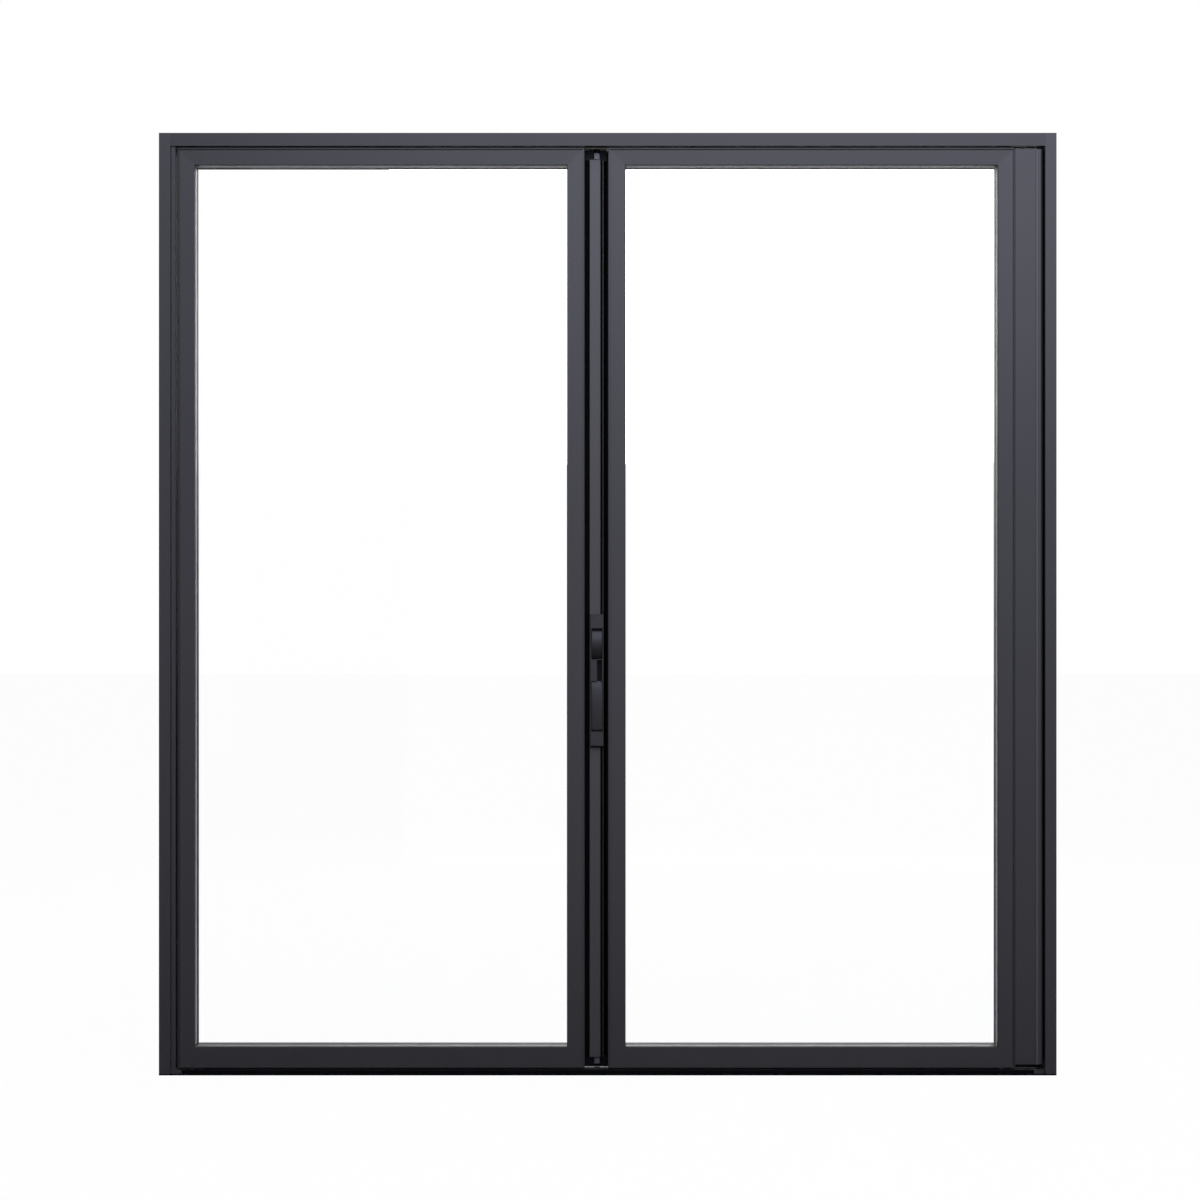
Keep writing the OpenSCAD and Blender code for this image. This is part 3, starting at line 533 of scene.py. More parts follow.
@dataclass
class Palette:
    """The door's materials by slot."""

    made: dict[Slot, bpy.types.Material] = field(default_factory=dict)
    coats: dict[Shade, bpy.types.Material] = field(default_factory=dict)

    def mix(self) -> None:
        """Makes every material once."""
        self.coats = {
            shade: PowderCoat(f"charcoal_coat_{shade.name.lower()}", shade).material() for shade in Shade
        }
        finishes: dict[Slot, Finish] = {
            Slot.RUBBER: BlackRubber("black_weather_rubber"),
            Slot.GLASS: ClearGlass("clear_float_glass"),
            Slot.STEEL: BrushedMetal(
                "burnished_steel",
                dark=(0.11, 0.11, 0.115, 1.0),
                light=(0.17, 0.17, 0.177, 1.0),
                metallic=0.8,
                roughness=0.46,
                along=(1.0, 1.0, 0.05),
            ),
            Slot.CAST: CastMetal("blackened_casting"),
            Slot.MILL: BrushedMetal(
                "dull_aluminium",
                dark=(0.15, 0.15, 0.153, 1.0),
                light=(0.22, 0.22, 0.224, 1.0),
                metallic=0.7,
                roughness=0.48,
                along=(0.05, 1.0, 0.05),
            ),
            Slot.NYLON: MouldedNylon("moulded_nylon"),
        }
        self.made = {slot: finish.material() for slot, finish in finishes.items()}

    def dress(self, piece: bpy.types.Object, slot: Slot, shade: Shade = Shade.PLAIN) -> None:
        """Puts a finish on a piece.

        Args:
            piece: The object to dress.
            slot: The finish's slot.
            shade: Shade of the coat, for coated pieces.
        """
        material = self.coats[shade] if slot is Slot.COAT else self.made[slot]
        if not piece.data.materials:
            piece.data.materials.append(material)
        for number in range(len(piece.data.materials)):
            piece.data.materials[number] = material


@dataclass(eq=False)
class Workpiece:
    """A new piece on the bench, shaped step by step in edit mode."""

    obj: bpy.types.Object
    SHARP = 35.0
    DOUBLES = 1e-6

    @staticmethod
    def clear() -> None:
        """Leaves nothing selected."""
        bpy.ops.object.select_all(action="DESELECT")

    def hold(self) -> None:
        """Leaves this piece alone selected, and active."""
        self.clear()
        self.obj.select_set(True)
        bpy.context.view_layer.objects.active = self.obj

    @classmethod
    def _taken(cls, name: str) -> "Workpiece":
        """Names the new primitive and moves its place into its mesh."""
        obj = bpy.context.object
        obj.name = name
        obj.data.name = name
        bpy.ops.object.transform_apply(location=True, rotation=True, scale=True)
        return cls(obj)

    @classmethod
    def block(cls, name: str, low: Point, high: Point) -> "Workpiece":
        """Starts from a block between two corners.

        Args:
            name: Name of the piece.
            low: Lowest corner.
            high: Highest corner.

        Returns:
            The workpiece.
        """
        cls.clear()
        size = Vector(high) - Vector(low)
        middle = (Vector(high) + Vector(low)) / 2
        bpy.ops.mesh.primitive_cube_add(size=1.0, location=middle, scale=size)
        return cls._taken(name)

    @classmethod
    def bar(
        cls, name: str, start: Point, axis: str, radius: float, length: float, sides: int = 48
    ) -> "Workpiece":
        """Starts from a round bar that runs from a point along an axis.

        Args:
            name: Name of the piece.
            start: Middle of the first end.
            axis: X, Y or Z.
            radius: Radius of the bar.
            length: Length of the bar.
            sides: Number of sides.

        Returns:
            The workpiece.
        """
        cls.clear()
        along = Vector((axis == "X", axis == "Y", axis == "Z"))
        quarter = math.pi / 2
        turn = {"X": (0.0, quarter, 0.0), "Y": (quarter, 0.0, 0.0), "Z": (0.0, 0.0, 0.0)}[axis]
        bpy.ops.mesh.primitive_cylinder_add(
            vertices=sides,
            radius=radius,
            depth=length,
            location=Vector(start) + along * length / 2,
            rotation=turn,
        )
        return cls._taken(name)

    @contextmanager
    def editing(self) -> Iterator[None]:
        """Keeps edit mode for the steps inside, with everything selected at first."""
        self.hold()
        bpy.ops.object.mode_set(mode="EDIT")
        bpy.ops.mesh.select_all(action="SELECT")
        yield
        bpy.ops.object.mode_set(mode="OBJECT")

    def pick(self, part: Part, test: Test) -> None:
        """Selects faces by middle and normal, or edges by middle and direction.

        Args:
            part: Whether faces or edges are picked.
            test: Says whether one is wanted.
        """
        bpy.ops.mesh.select_mode(type=part.value)
        bpy.ops.mesh.select_all(action="DESELECT")
        shape = bmesh.from_edit_mesh(self.obj.data)
        if part is Part.FACES:
            for face in shape.faces:
                face.select_set(test(face.calc_center_median(), face.normal))
        else:
            for edge in shape.edges:
                first, second = (corner.co for corner in edge.verts)
                edge.select_set(test((first + second) / 2, (second - first).normalized()))
        shape.select_flush_mode()
        bmesh.update_edit_mesh(self.obj.data)

    def round_edges(self, test: Test, width: float, segments: int = 3) -> "Workpiece":
        """Bevels chosen edges round.

        Args:
            test: Picks the edges by middle and direction.
            width: Width of the bevel.
            segments: Number of strips.

        Returns:
            The same workpiece.
        """
        with self.editing():
            self.pick(Part.EDGES, test)
            bpy.ops.mesh.bevel(
                offset=width, segments=segments, profile=0.5, affect="EDGES", clamp_overlap=True
            )
        return self

    def draw_out(self, test: Test, inset: float, move: Point) -> "Workpiece":
        """Insets chosen faces and extrudes them.

        Args:
            test: Picks the faces by middle and normal.
            inset: Width of the inset.
            move: Way that the faces move.

        Returns:
            The same workpiece.
        """
        with self.editing():
            self.pick(Part.FACES, test)
            bpy.ops.mesh.inset(thickness=inset)
            bpy.ops.mesh.extrude_region_move(TRANSFORM_OT_translate={"value": move})
        return self

    def slice(self, point: Point, normal: Point) -> "Workpiece":
        """Cuts away what lies on the normal's side of a plane and closes the cut.

        Args:
            point: A point of the plane.
            normal: Normal of the plane.

        Returns:
            The same workpiece.
        """
        with self.editing():
            bpy.ops.mesh.bisect(
                plane_co=point, plane_no=normal, use_fill=True, clear_outer=True, threshold=1e-7
            )
        return self

    def tool(self, cut: Cut, other: "Workpiece") -> "Workpiece":
        """Cuts or welds with another body, which is used up.

        Args:
            cut: Whether the body is taken away or welded on.
            other: The body.

        Returns:
            The same workpiece.
        """
        modifier = self.obj.modifiers.new("tool", "BOOLEAN")
        modifier.operation = cut.value
        modifier.solver = "EXACT"
        modifier.object = other.obj
        self._apply(modifier)
        mesh = other.obj.data
        bpy.data.objects.remove(other.obj)
        bpy.data.meshes.remove(mesh)
        return self

    def break_edges(self, width: float, segments: int = 2) -> "Workpiece":
        """Breaks every sharp edge.

        Args:
            width: Width of the broken edge.
            segments: Number of strips.

        Returns:
            The same workpiece.
        """
        modifier = self.obj.modifiers.new("edges", "BEVEL")
        modifier.width = width
        modifier.segments = segments
        modifier.limit_method = "ANGLE"
        modifier.angle_limit = math.radians(self.SHARP)
        modifier.use_clamp_overlap = True
        self._apply(modifier)
        return self

    def _apply(self, modifier: bpy.types.Modifier) -> None:
        """Applies a modifier."""
        self.hold()
        bpy.ops.object.modifier_apply(modifier=modifier.name)

    def copy(self, move: Point) -> "Workpiece":
        """Copies the piece with a mesh of its own.

        Args:
            move: Way from the piece to the copy.

        Returns:
            The copy.
        """
        twin = Workpiece(self.obj.copy())
        twin.obj.data = self.obj.data.copy()
        bpy.context.scene.collection.objects.link(twin.obj)
        twin.obj.location = move
        twin.hold()
        bpy.ops.object.transform_apply(location=True, rotation=True, scale=True)
        return twin

    def join(self, others: Iterable["Workpiece"]) -> "Workpiece":
        """Joins other pieces into this one.

        Args:
            others: The pieces to join.

        Returns:
            The same workpiece.
        """
        self.hold()
        for other in others:
            other.obj.select_set(True)
        bpy.ops.object.join()
        return self

    def finish(self, angle: float = 32.0, level: bool = True) -> bpy.types.Object:
        """Merges doubles, turns the faces outwards and smooths what isn't sharp.

        Args:
            angle: Largest angle in degrees that is smoothed.
            level: Whether wide faces are kept flat to the eye.

        Returns:
            The finished object.
        """
        with self.editing():
            bpy.ops.mesh.remove_doubles(threshold=self.DOUBLES)
            bpy.ops.mesh.normals_make_consistent(inside=False)
        self.hold()
        bpy.ops.object.shade_smooth_by_angle(angle=math.radians(angle))
        if level:
            modifier = self.obj.modifiers.new("normals", "WEIGHTED_NORMAL")
            modifier.keep_sharp = True
            self._apply(modifier)
        return self.obj


@dataclass
class Assembly:
    """A sub-assembly that dresses its pieces and hangs them on the bodies that carry them."""

    palette: Palette

    def seat(
        self,
        piece: bpy.types.Object,
        body: str,
        slot: Slot,
        nodes: Iterable[str] = (),
        shade: Shade = Shade.PLAIN,
    ) -> None:
        """Dresses a piece and lets it ride on a body.

        Args:
            piece: The finished object.
            body: Name of the body that carries it.
            slot: Finish of the piece.
            nodes: Solids that it stands for.
            shade: Shade of the coat, for coated pieces.
        """
        self.palette.dress(piece, slot, shade)
        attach(piece, body)
        if nodes:
            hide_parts(*nodes)
        log.info("%s on %s, %d faces", piece.name, body, len(piece.data.polygons))


@dataclass
class LockSet(Assembly):
    """Lever, push button, plate and screws of the lock."""

    edge: float = 0.5 * MM
    corner: float = 11.0 * MM
    crown: float = 2.2 * MM
    crown_zone: float = 6.0 * MM
    falls: tuple[Pair, ...] = ((0.45, 0.05), (0.64, 0.11), (0.82, 0.18))
    pin: float = 2.05 * MM
    button_edge: float = 1.3 * MM
    button_play: float = 1.0 * MM
    button_rise: float = 3.6 * MM
    button_brim: float = 6.0 * MM
    button_gap: float = 2.6 * MM
    bulge: float = 60.0 * MM
    bulge_sides: int = 180
    plate_lift: float = 3.6 * MM
    plate_round: float = 0.8 * MM
    plate_edge: float = 0.25 * MM
    lever_play: float = 1.4 * MM
    gap: float = 0.3 * MM
    overlap: float = 0.2 * MM
    floor: float = 3.0 * MM
    dish: float = 1.0 * MM
    pocket_rim: float = 4.0 * MM
    screw_inset: float = 7.0 * MM
    screw_head: float = 1.5 * MM
    screw_round: float = 0.4 * MM
    screw_shank: float = 1.45 * MM
    screw_bore: float = 1.5 * MM
    screw_deep: float = 16.0 * MM
    socket: float = 1.25 * MM
    socket_deep: float = 2.0 * MM

    def build(self) -> None:
        """Builds every piece of the lock."""
        self.lever()
        self.button()
        self.plate()
        self.screws()

    def pin_bore(self, low: Vector, high: Vector) -> Workpiece:
        """Makes the drill for the lever's pin.

        Args:
            low: Lowest corner of the piece that is drilled.
            high: Highest corner of the piece.

        Returns:
            The drill, which goes right through the piece.
        """
        start = (low.x - MM, *centre("lever_pin")[1:])
        return Workpiece.bar("bore", start, "X", self.pin, high.x - low.x + 2 * MM)

    def lever(self) -> None:
        """Lever with a round foot, one round top corner and a face that curves back."""
        low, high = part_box("lever")
        foot = (high.y - low.y) / 2 * NEARLY
        lever = Workpiece.block("lever_grip", low, high)
        lever.round_edges(lambda at, way: abs(way.x) > ALIGNED and at.z < low.z + MM, foot, 8)
        at_y, at_z = low.y, low.z
        slope = 0.0
        for share, fall in self.falls:
            start = low.z + share * (high.z - low.z)
            at_y, at_z = at_y + slope * (start - at_z), start
            slope = fall
            lever.slice((0.0, at_y, at_z), (0.0, -1.0, slope))
        lever.round_edges(
            lambda at, way: abs(way.y) > ALIGNED and at.z > high.z - MM and at.x > high.x - MM,
            self.corner,
            12,
        )
        lever.round_edges(
            lambda at, way: at.y < low.y + self.crown_zone
            and abs(way.y) < 0.3
            and (abs(way.x) < ALIGNED and at.z > low.z + 2 * foot or at.z > high.z - MM),
            self.crown,
            6,
        )
        lever.tool(Cut.TAKE, self.pin_bore(low, high))
        lever.break_edges(self.edge)
        self.seat(lever.finish(level=False), "lever", Slot.COAT, ["lever"], Shade.LOCK)

    def button(self) -> None:
        """Barrel-fronted push button, stepped behind its brim to clear the lock case."""
        low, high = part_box("push_button")
        window = high.z
        high.z += self.button_rise
        middle = (low.z + high.z) / 2
        start = (low.x, low.y + self.bulge, middle)
        button = Workpiece.bar("button_cap", start, "X", self.bulge, high.x - low.x, self.bulge_sides)
        button.slice((0.0, high.y, 0.0), (0.0, 1.0, 0.0))
        button.slice((0.0, 0.0, high.z), (0.0, 0.0, 1.0))
        button.slice((0.0, 0.0, low.z), (0.0, 0.0, -1.0))
        step = Workpiece.block(
            "step",
            (low.x - MM, low.y + self.button_brim, window),
            (high.x + MM, high.y + MM, high.z + MM),
        )
        button.tool(Cut.TAKE, step)
        button.break_edges(self.button_edge, 4)
        self.seat(button.finish(), "push_button", Slot.COAT, ["push_button"], Shade.LOCK)

    def plate(self) -> None:
        """Deep bezel round lever and button, with finger pocket and dish, on a black rubber foot that also
        paints the shadow line under the plate.
        """
        low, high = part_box("lock_plate")
        bottom = low.z + self.plate_lift
        button_low, button_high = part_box("push_button")
        lever_low, lever_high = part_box("lever")
        middle = (button_low.x + button_high.x) / 2
        foot, top = lever_high.z + self.gap, button_low.z - self.pocket_rim
        front, back = low.y - MM, high.y + MM
        plate = Workpiece.block("lock_bezel", (low.x, low.y, bottom), high)
        plate.round_edges(lambda at, way: at.y < low.y + 0.1 * MM and abs(way.y) < 0.1, self.plate_round)
        rooms: list[tuple[Point, Point]] = [
            (
                (button_low.x - self.button_play, front, button_low.z - self.button_gap),
                (
                    button_high.x + self.button_play,
                    back,
                    button_high.z + self.button_rise + self.button_gap,
                ),
            ),
            (
                (lever_low.x - self.lever_play, front, lever_low.z - self.lever_play),
                (lever_high.x + self.lever_play, high.y - self.floor, foot),
            ),
            ((middle, front, foot - self.overlap), (button_high.x, back, top)),
            ((button_low.x, front, foot - self.overlap), (middle + MM, low.y + self.dish, top)),
        ]
        for near, far in rooms:
            plate.tool(Cut.TAKE, Workpiece.block("room", near, far))
        plate.tool(Cut.TAKE, self.pin_bore(low, high))
        screw_low, screw_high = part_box("lock_screws")
        head = (screw_high.x - screw_low.x) / 2 + self.gap
        screw_x = centre("lock_screws")[0]
        for z in (low.z + self.screw_inset, high.z - self.screw_inset):
            for radius, deep, sides in (
                (self.screw_bore, self.screw_deep, 24),
                (head, self.screw_head + MM, 32),
            ):
                drill = Workpiece.bar("drill", (screw_x, front, z), "Y", radius, deep, sides)
                plate.tool(Cut.TAKE, drill)
        plate.break_edges(self.plate_edge)
        self.seat(plate.finish(), "left_leaf", Slot.COAT, ["lock_plate"], Shade.BEZEL)
        # Painted shade: the black foot under the bezel stands for the shadow line below the plate, as well
        # as a gasket.
        shade_gasket = Workpiece.block("plate_foot_shade_gasket", (low.x, low.y + MM, low.z), (high.x, high.y, bottom))
        shade_gasket.round_edges(lambda at, way: abs(way.x) > ALIGNED and at.y < low.y + 2 * MM, self.edge)
        self.seat(shade_gasket.finish(), "left_leaf", Slot.RUBBER)

    def screws(self) -> None:
        """Two flush screws with a hexagon socket."""
        low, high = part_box("lock_screws")
        radius = (high.x - low.x) / 2
        middle = centre("lock_screws")[0]
        first_z = low.z + radius
        start = (middle, low.y, first_z)
        screw = Workpiece.bar("lock_plate_screws", start, "Y", radius, self.screw_head, 32)
        shank = (0.0, high.y - low.y - self.screw_head, 0.0)
        screw.draw_out(lambda at, way: way.y > ALIGNED, radius - self.screw_shank, shank)
        screw.round_edges(lambda at, way: at.y < low.y + TOUCH, self.screw_round)
        start = (middle, low.y - MM, first_z)
        screw.tool(Cut.TAKE, Workpiece.bar("socket", start, "Y", self.socket, self.socket_deep, 6))
        screw.join([screw.copy((0.0, 0.0, high.z - low.z - 2 * radius))])
        self.seat(screw.finish(), "left_leaf", Slot.COAT, ["lock_screws"], Shade.BEZEL)


@dataclass
class GapSealAndLightStrip(Assembly):
    """Thin strips in the gaps: a black seal beside the lock post that also darkens the gap as painted
    shade, and a near-white strip under the head that is painted bounce light.
    """

    play: float = 0.3 * MM
    deep: float = 4.0 * MM
    soft: float = 1.5 * MM
    leg: float = 16.0 * MM
    light_strip: float = 0.2 * MM
    light_strip_round: float = 0.08 * MM
    light_strip_wide: float = 14.0 * MM
    slot_half: float = 6.0 * MM

    def build(self) -> None:
        """Builds both strips."""
        self.post_gap()
        self.painted_soffit_light()

    def post_gap(self) -> None:
        """Soft-edged black seal between the left meeting stile and the lock post, which also stands for the
        deep shade of that gap (painted shade).
        """
        low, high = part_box("lock_post")
        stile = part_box("left_meeting_stile")[1].x
        post_left = 2 * centre("hinge_pins")[0] - high.x
        back = high.y - self.leg - self.play
        seal = Workpiece.block(
            "post_gap_shade_seal",
            (stile + self.play, back - self.deep, low.z),
            (post_left - self.play, back, high.z),
        )
        seal.round_edges(lambda at, way: abs(way.z) > ALIGNED and at.y < back - MM, self.soft, 4)
        self.seat(seal.finish(), "left_leaf", Slot.RUBBER)

    def painted_soffit_light(self) -> None:
        """Thin near-white strip on the head's underside behind the track slot, painted light that stands
        for bounce light on the soffit.
        """
        low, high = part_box("head")
        front = centre("carriage_body")[1] + self.slot_half + self.play
        light_strip = Workpiece.block(
            "painted_soffit_light",
            (low.x + MM, front, low.z - self.light_strip),
            (high.x - MM, front + self.light_strip_wide, low.z),
        )
        light_strip.round_edges(
            lambda at, way: abs(way.x) > ALIGNED and at.z < low.z - self.light_strip / 2,
            self.light_strip_round,
            2,
        )
        self.seat(light_strip.finish(), "frame", Slot.COAT, shade=Shade.PALE)


@dataclass
class ShootBolts(Assembly):
    """The two bolts that the lever moves, turned tips on slim rods."""

    rod: float = 4.0 * MM
    tip: float = 60.0 * MM
    chamfer: float = 1.4 * MM
    flat: float = 4.0 * MM
    shaved: float = 16.0 * MM

    def build(self) -> None:
        """Builds the upper and the lower bolt."""
        self.bolt("top_bolt", 1)
        self.bolt("bottom_bolt", -1)

    def bolt(self, node: str, way: int) -> None:
        """Turns one bolt.

        Args:
            node: The solid that it stands for, and its body.
            way: 1 where the tip points up, -1 where it points down.
        """
        low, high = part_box(node)
        radius = (high.x - low.x) / 2
        middle = centre(node)[:2]
        end = high.z - self.tip if way > 0 else low.z
        bolt = Workpiece.bar(f"{node}_turned", (*middle, end), "Z", radius, self.tip, 40)
        rest = (high.z - low.z - self.tip) * -way
        bolt.draw_out(lambda at, to: to.z * way < -ALIGNED, radius - self.rod, (0.0, 0.0, rest))
        tip_z = high.z if way > 0 else low.z
        bolt.round_edges(lambda at, to: abs(at.z - tip_z) < TOUCH, self.chamfer, 2)
        flat_y = middle[1] - self.flat
        foot, top = sorted((tip_z - way * self.shaved, tip_z + way * MM))
        shave = Workpiece.block(
            "flat",
            (middle[0] - 2 * radius, flat_y - 2 * radius, foot),
            (middle[0] + 2 * radius, flat_y, top),
        )
        bolt.tool(Cut.TAKE, shave)
        self.seat(bolt.finish(), node, Slot.STEEL, [node])


@dataclass
class Hinges(Assembly):
    """Hinges on the back of the meeting stiles, with their pins and screws."""

    thick: float = 4.0 * MM
    plate: float = 42.0 * MM
    height: float = 90.0 * MM
    corner: float = 4.0 * MM
    edge: float = 0.6 * MM
    knuckle: float = 9.0 * MM
    pin: float = 4.0 * MM
    pin_round: float = 0.8 * MM
    pin_head: float = 7.0 * MM
    dome: float = 1.6 * MM
    bore: float = 4.05 * MM
    gap: float = 0.3 * MM
    screw: float = 4.2 * MM
    screw_sunk: float = 0.6 * MM
    screw_high: float = 1.5 * MM
    screw_round: float = 0.8 * MM
    screw_near: float = 7.0 * MM
    screw_far: float = 18.0 * MM
    screw_end: float = 12.0 * MM
    cross: Pair = (2.2 * MM, 0.5 * MM)
    heights: list[float] = field(default_factory=list)

    def build(self) -> None:
        """Builds both sides, the pins and the screws."""
        low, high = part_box("hinge_left_plates")
        top = high.z - self.height
        self.heights = [low.z, (low.z + top) / 2, top]
        self.side("hinge_left_plates", "left_leaf", -1, (0, 2))
        self.side("hinge_right_plates", "right_leaf", 1, (1,))
        self.pins()

    def side(self, node: str, body: str, side: int, thirds: tuple[int, ...]) -> None:
        """Builds one side of all hinges with its screws.

        Args:
            node: The solid that it stands for.
            body: Body that carries it.
            side: -1 for the left plates, 1 for the right ones.
            thirds: Thirds of the height that carry a knuckle.
        """
        low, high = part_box(node)
        axis_x, axis_y, _ = centre("hinge_pins")
        edge = low.x if side < 0 else high.x
        foot = self.heights[0]
        inner = edge - side * self.plate
        back = low.y
        plate = Workpiece.block(
            f"{node}_forged",
            (min(edge, inner), back, foot),
            (max(edge, inner), back + self.thick, foot + self.height),
        )
        plate.round_edges(lambda at, way: abs(way.y) > ALIGNED and abs(at.x - edge) < TOUCH, self.corner, 6)
        third = self.height / 3
        left, right = sorted((inner + side * MM, axis_x))
        for k in thirds:
            z0 = foot + k * third + self.gap
            z1 = foot + (k + 1) * third - self.gap
            web = Workpiece.block("web", (left, back, z0), (right, back + self.thick, z1))
            plate.tool(Cut.WELD, web)
            knuckle = Workpiece.bar("knuckle", (axis_x, axis_y, z0), "Z", self.knuckle, z1 - z0)
            plate.tool(Cut.WELD, knuckle)
        start = (axis_x, axis_y, foot - MM)
        plate.tool(Cut.TAKE, Workpiece.bar("bore", start, "Z", self.bore, self.height + 2 * MM, 40))
        plate.break_edges(self.edge)
        lift = [z - foot for z in self.heights[1:]]
        near, far = edge - side * self.screw_near, edge - side * self.screw_far
        ends = self.screw_end, self.height / 2, self.height - self.screw_end
        first, *others = (
            self.raised_screw(x, back + self.thick, foot + up) for x, up in zip((near, far, near), ends)
        )
        plate.join([plate.copy((0.0, 0.0, z)) for z in lift])
        self.seat(plate.finish(), body, Slot.CAST, [node])
        first.join(others)
        first.join([first.copy((0.0, 0.0, z)) for z in lift])
        first.obj.name = f"{body}_hinge_screws"
        self.seat(first.finish(), body, Slot.STEEL)

    def raised_screw(self, x: float, y: float, z: float) -> Workpiece:
        """Models one low raised screw head with a cross recess.

        Args:
            x: Place along X.
            y: Face that the head stands on.
            z: Height.

        Returns:
            The screw head.
        """
        start = (x, y - self.screw_sunk, z)
        head = Workpiece.bar("hinge_screw", start, "Y", self.screw, self.screw_high, 28)
        head.round_edges(lambda at, way: at.y > y + 0.5 * MM, self.screw_round, 4)
        for across, up in (self.cross, self.cross[::-1]):
            cross = Workpiece.block(
                "cross", (x - across, y - 0.1 * MM, z - up), (x + across, y + 2 * MM, z + up)
            )
            head.tool(Cut.TAKE, cross)
        return head

    def pins(self) -> None:
        """Pins with a domed head on top."""
        axis_x, axis_y, _ = centre("hinge_pins")
        foot = self.heights[0]
        top = foot + self.height
        pin = Workpiece.bar("hinge_pins_domed", (axis_x, axis_y, foot), "Z", self.pin, self.height, 40)
        pin.round_edges(lambda at, way: at.z < foot + TOUCH, self.pin_round, 2)
        start = (axis_x, axis_y, top - self.gap)
        head = Workpiece.bar("head", start, "Z", self.pin_head, 3 * MM, 40)
        head.round_edges(lambda at, way: at.z > top + 2.5 * MM, self.dome, 5)
        pin.join([head])
        pin.join([pin.copy((0.0, 0.0, z - foot)) for z in self.heights[1:]])
        self.seat(pin.finish(), "left_leaf", Slot.STEEL, ["hinge_pins"])


@dataclass
class FineEdges(Assembly):
    """Slivers that make front edges crisp, the filler's lip and the end cover's bead."""

    broken: float = 1.5 * MM
    lip_back: float = 0.5 * MM
    fine: float = 0.35 * MM
    bead_wide: float = 5.0 * MM
    bead_proud: float = 1.5 * MM
    bead_in: float = 13.5 * MM
    bead_angle: float = 40.0

    def build(self) -> None:
        """Builds the slivers of head, jambs and leaves, the lip and the bead."""
        low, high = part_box("head")
        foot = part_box("sill")[1].z
        end = (high.x, low.y, low.z)
        self.sliver("head_edge", "frame", tuple(low), end, (0, 1, 1), Shade.RAIL)
        for side, x, inward in (("left", low.x, -1), ("right", high.x, 1)):
            start, end = (x, low.y, foot), (x, low.y, high.z)
            self.sliver(f"{side}_jamb_edge", "frame", start, end, (inward, 1, 0))
        for side in ("left", "right"):
            low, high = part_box(f"{side}_top_rail")
            start = (low.x + self.broken, low.y, high.z)
            end = (high.x - self.broken, low.y, high.z)
            self.sliver(f"{side}_leaf_edge", f"{side}_leaf", start, end, (0, 1, -1), Shade.RAIL)
        self.lip()
        self.bead()

    def sliver(
        self,
        name: str,
        body: str,
        start: Point,
        end: Point,
        inward: Point,
        shade: Shade = Shade.PLAIN,
    ) -> None:
        """Cuts one three-sided sliver along an edge.

        Args:
            name: Name of the piece.
            body: Body that carries it.
            start: First end of the edge.
            end: Last end of the edge.
            inward: Way from the edge into the solid.
            shade: Shade of the coat.
        """
        first, last = Vector(start), Vector(end)
        deep = Vector(inward) * self.broken
        ends = [first, last, first + deep, last + deep]
        low = [min(point[k] for point in ends) for k in range(3)]
        high = [max(point[k] for point in ends) for k in range(3)]
        sliver = Workpiece.block(name, low, high)
        sliver.slice(first + Vector((deep.x, 0.0, deep.z)), inward)
        way = (last - first).normalized()
        sliver.round_edges(
            lambda at, to: abs(to.dot(way)) > ALIGNED and (at - first).cross(way).length < TOUCH,
            self.fine,
        )
        self.seat(sliver.finish(), body, Slot.COAT, shade=shade)

    def lip(self) -> None:
        """Lip of the filler that reaches to the jamb."""
        low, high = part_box("pivot_side_filler")
        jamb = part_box("left_jamb")[1].x
        front = low.y + self.lip_back
        far = (low.x + self.broken, front + 2 * self.broken, high.z)
        lip = Workpiece.block("filler_lip", (jamb, front, low.z), far)
        lip.round_edges(lambda at, way: abs(way.z) > ALIGNED and at.y < front + self.fine, self.fine)
        self.seat(lip.finish(), "frame", Slot.COAT)

    def bead(self) -> None:
        """Half-round bead along the nose of the end cover, in a much lighter copy of the coat that paints a
        highlight.
        """
        low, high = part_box("end_cover_strip")
        left = high.x - self.bead_in - self.bead_wide / 2
        bead = Workpiece.block(
            "end_cover_bead",
            (left, low.y - self.bead_proud, low.z),
            (left + self.bead_wide, low.y + self.fine, high.z),
        )
        bead.round_edges(
            lambda at, way: abs(way.z) > ALIGNED and at.y < low.y - MM, self.bead_proud * NEARLY, 6
        )
        self.seat(bead.finish(self.bead_angle), "right_leaf", Slot.COAT, shade=Shade.BEAD)


@dataclass
class SillTrim(Assembly):
    """Black strip along the sill's front and the black seal along the frame's foot, both also painted shade
    at the bottom of the door.
    """

    slant: float = 7.0 * MM
    nose: float = 2.6 * MM
    edge: float = 0.3 * MM
    foot_high: float = 3.2 * MM
    foot_proud: float = 0.3 * MM
    foot_deep: float = 3.0 * MM

    def build(self) -> None:
        """Builds the strip and the seal."""
        self.strip()
        self.foot()

    def foot(self) -> None:
        """Thin black seal along the foot of the frame, which also stands for the shadow line under it
        (painted shade).
        """
        low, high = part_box("left_jamb")[0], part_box("right_jamb")[1]
        seal = Workpiece.block(
            "frame_foot_shade_seal",
            (low.x, low.y - self.foot_proud, low.z),
            (high.x, low.y + self.foot_deep, low.z + self.foot_high),
        )
        seal.round_edges(
            lambda at, way: abs(way.x) > ALIGNED and at.y < low.y and at.z > low.z + MM,
            self.foot_proud,
        )
        self.seat(seal.finish(), "frame", Slot.RUBBER)

    def strip(self) -> None:
        """Moulded black strip with a round nose and a slanted left end; its black also stands for the shade
        under the leaves (painted shade).
        """
        low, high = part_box("sill_front_strip")
        strip = Workpiece.block("sill_shade_strip_moulded", low, high)
        strip.round_edges(
            lambda at, way: abs(way.x) > ALIGNED and at.y < low.y + MM and at.z > high.z - MM,
            self.nose,
            5,
        )
        rise = high.z - low.z
        strip.slice((low.x, 0.0, high.z), (-rise, 0.0, -self.slant))
        strip.break_edges(self.edge)
        self.seat(strip.finish(), "frame", Slot.RUBBER, ["sill_front_strip"])


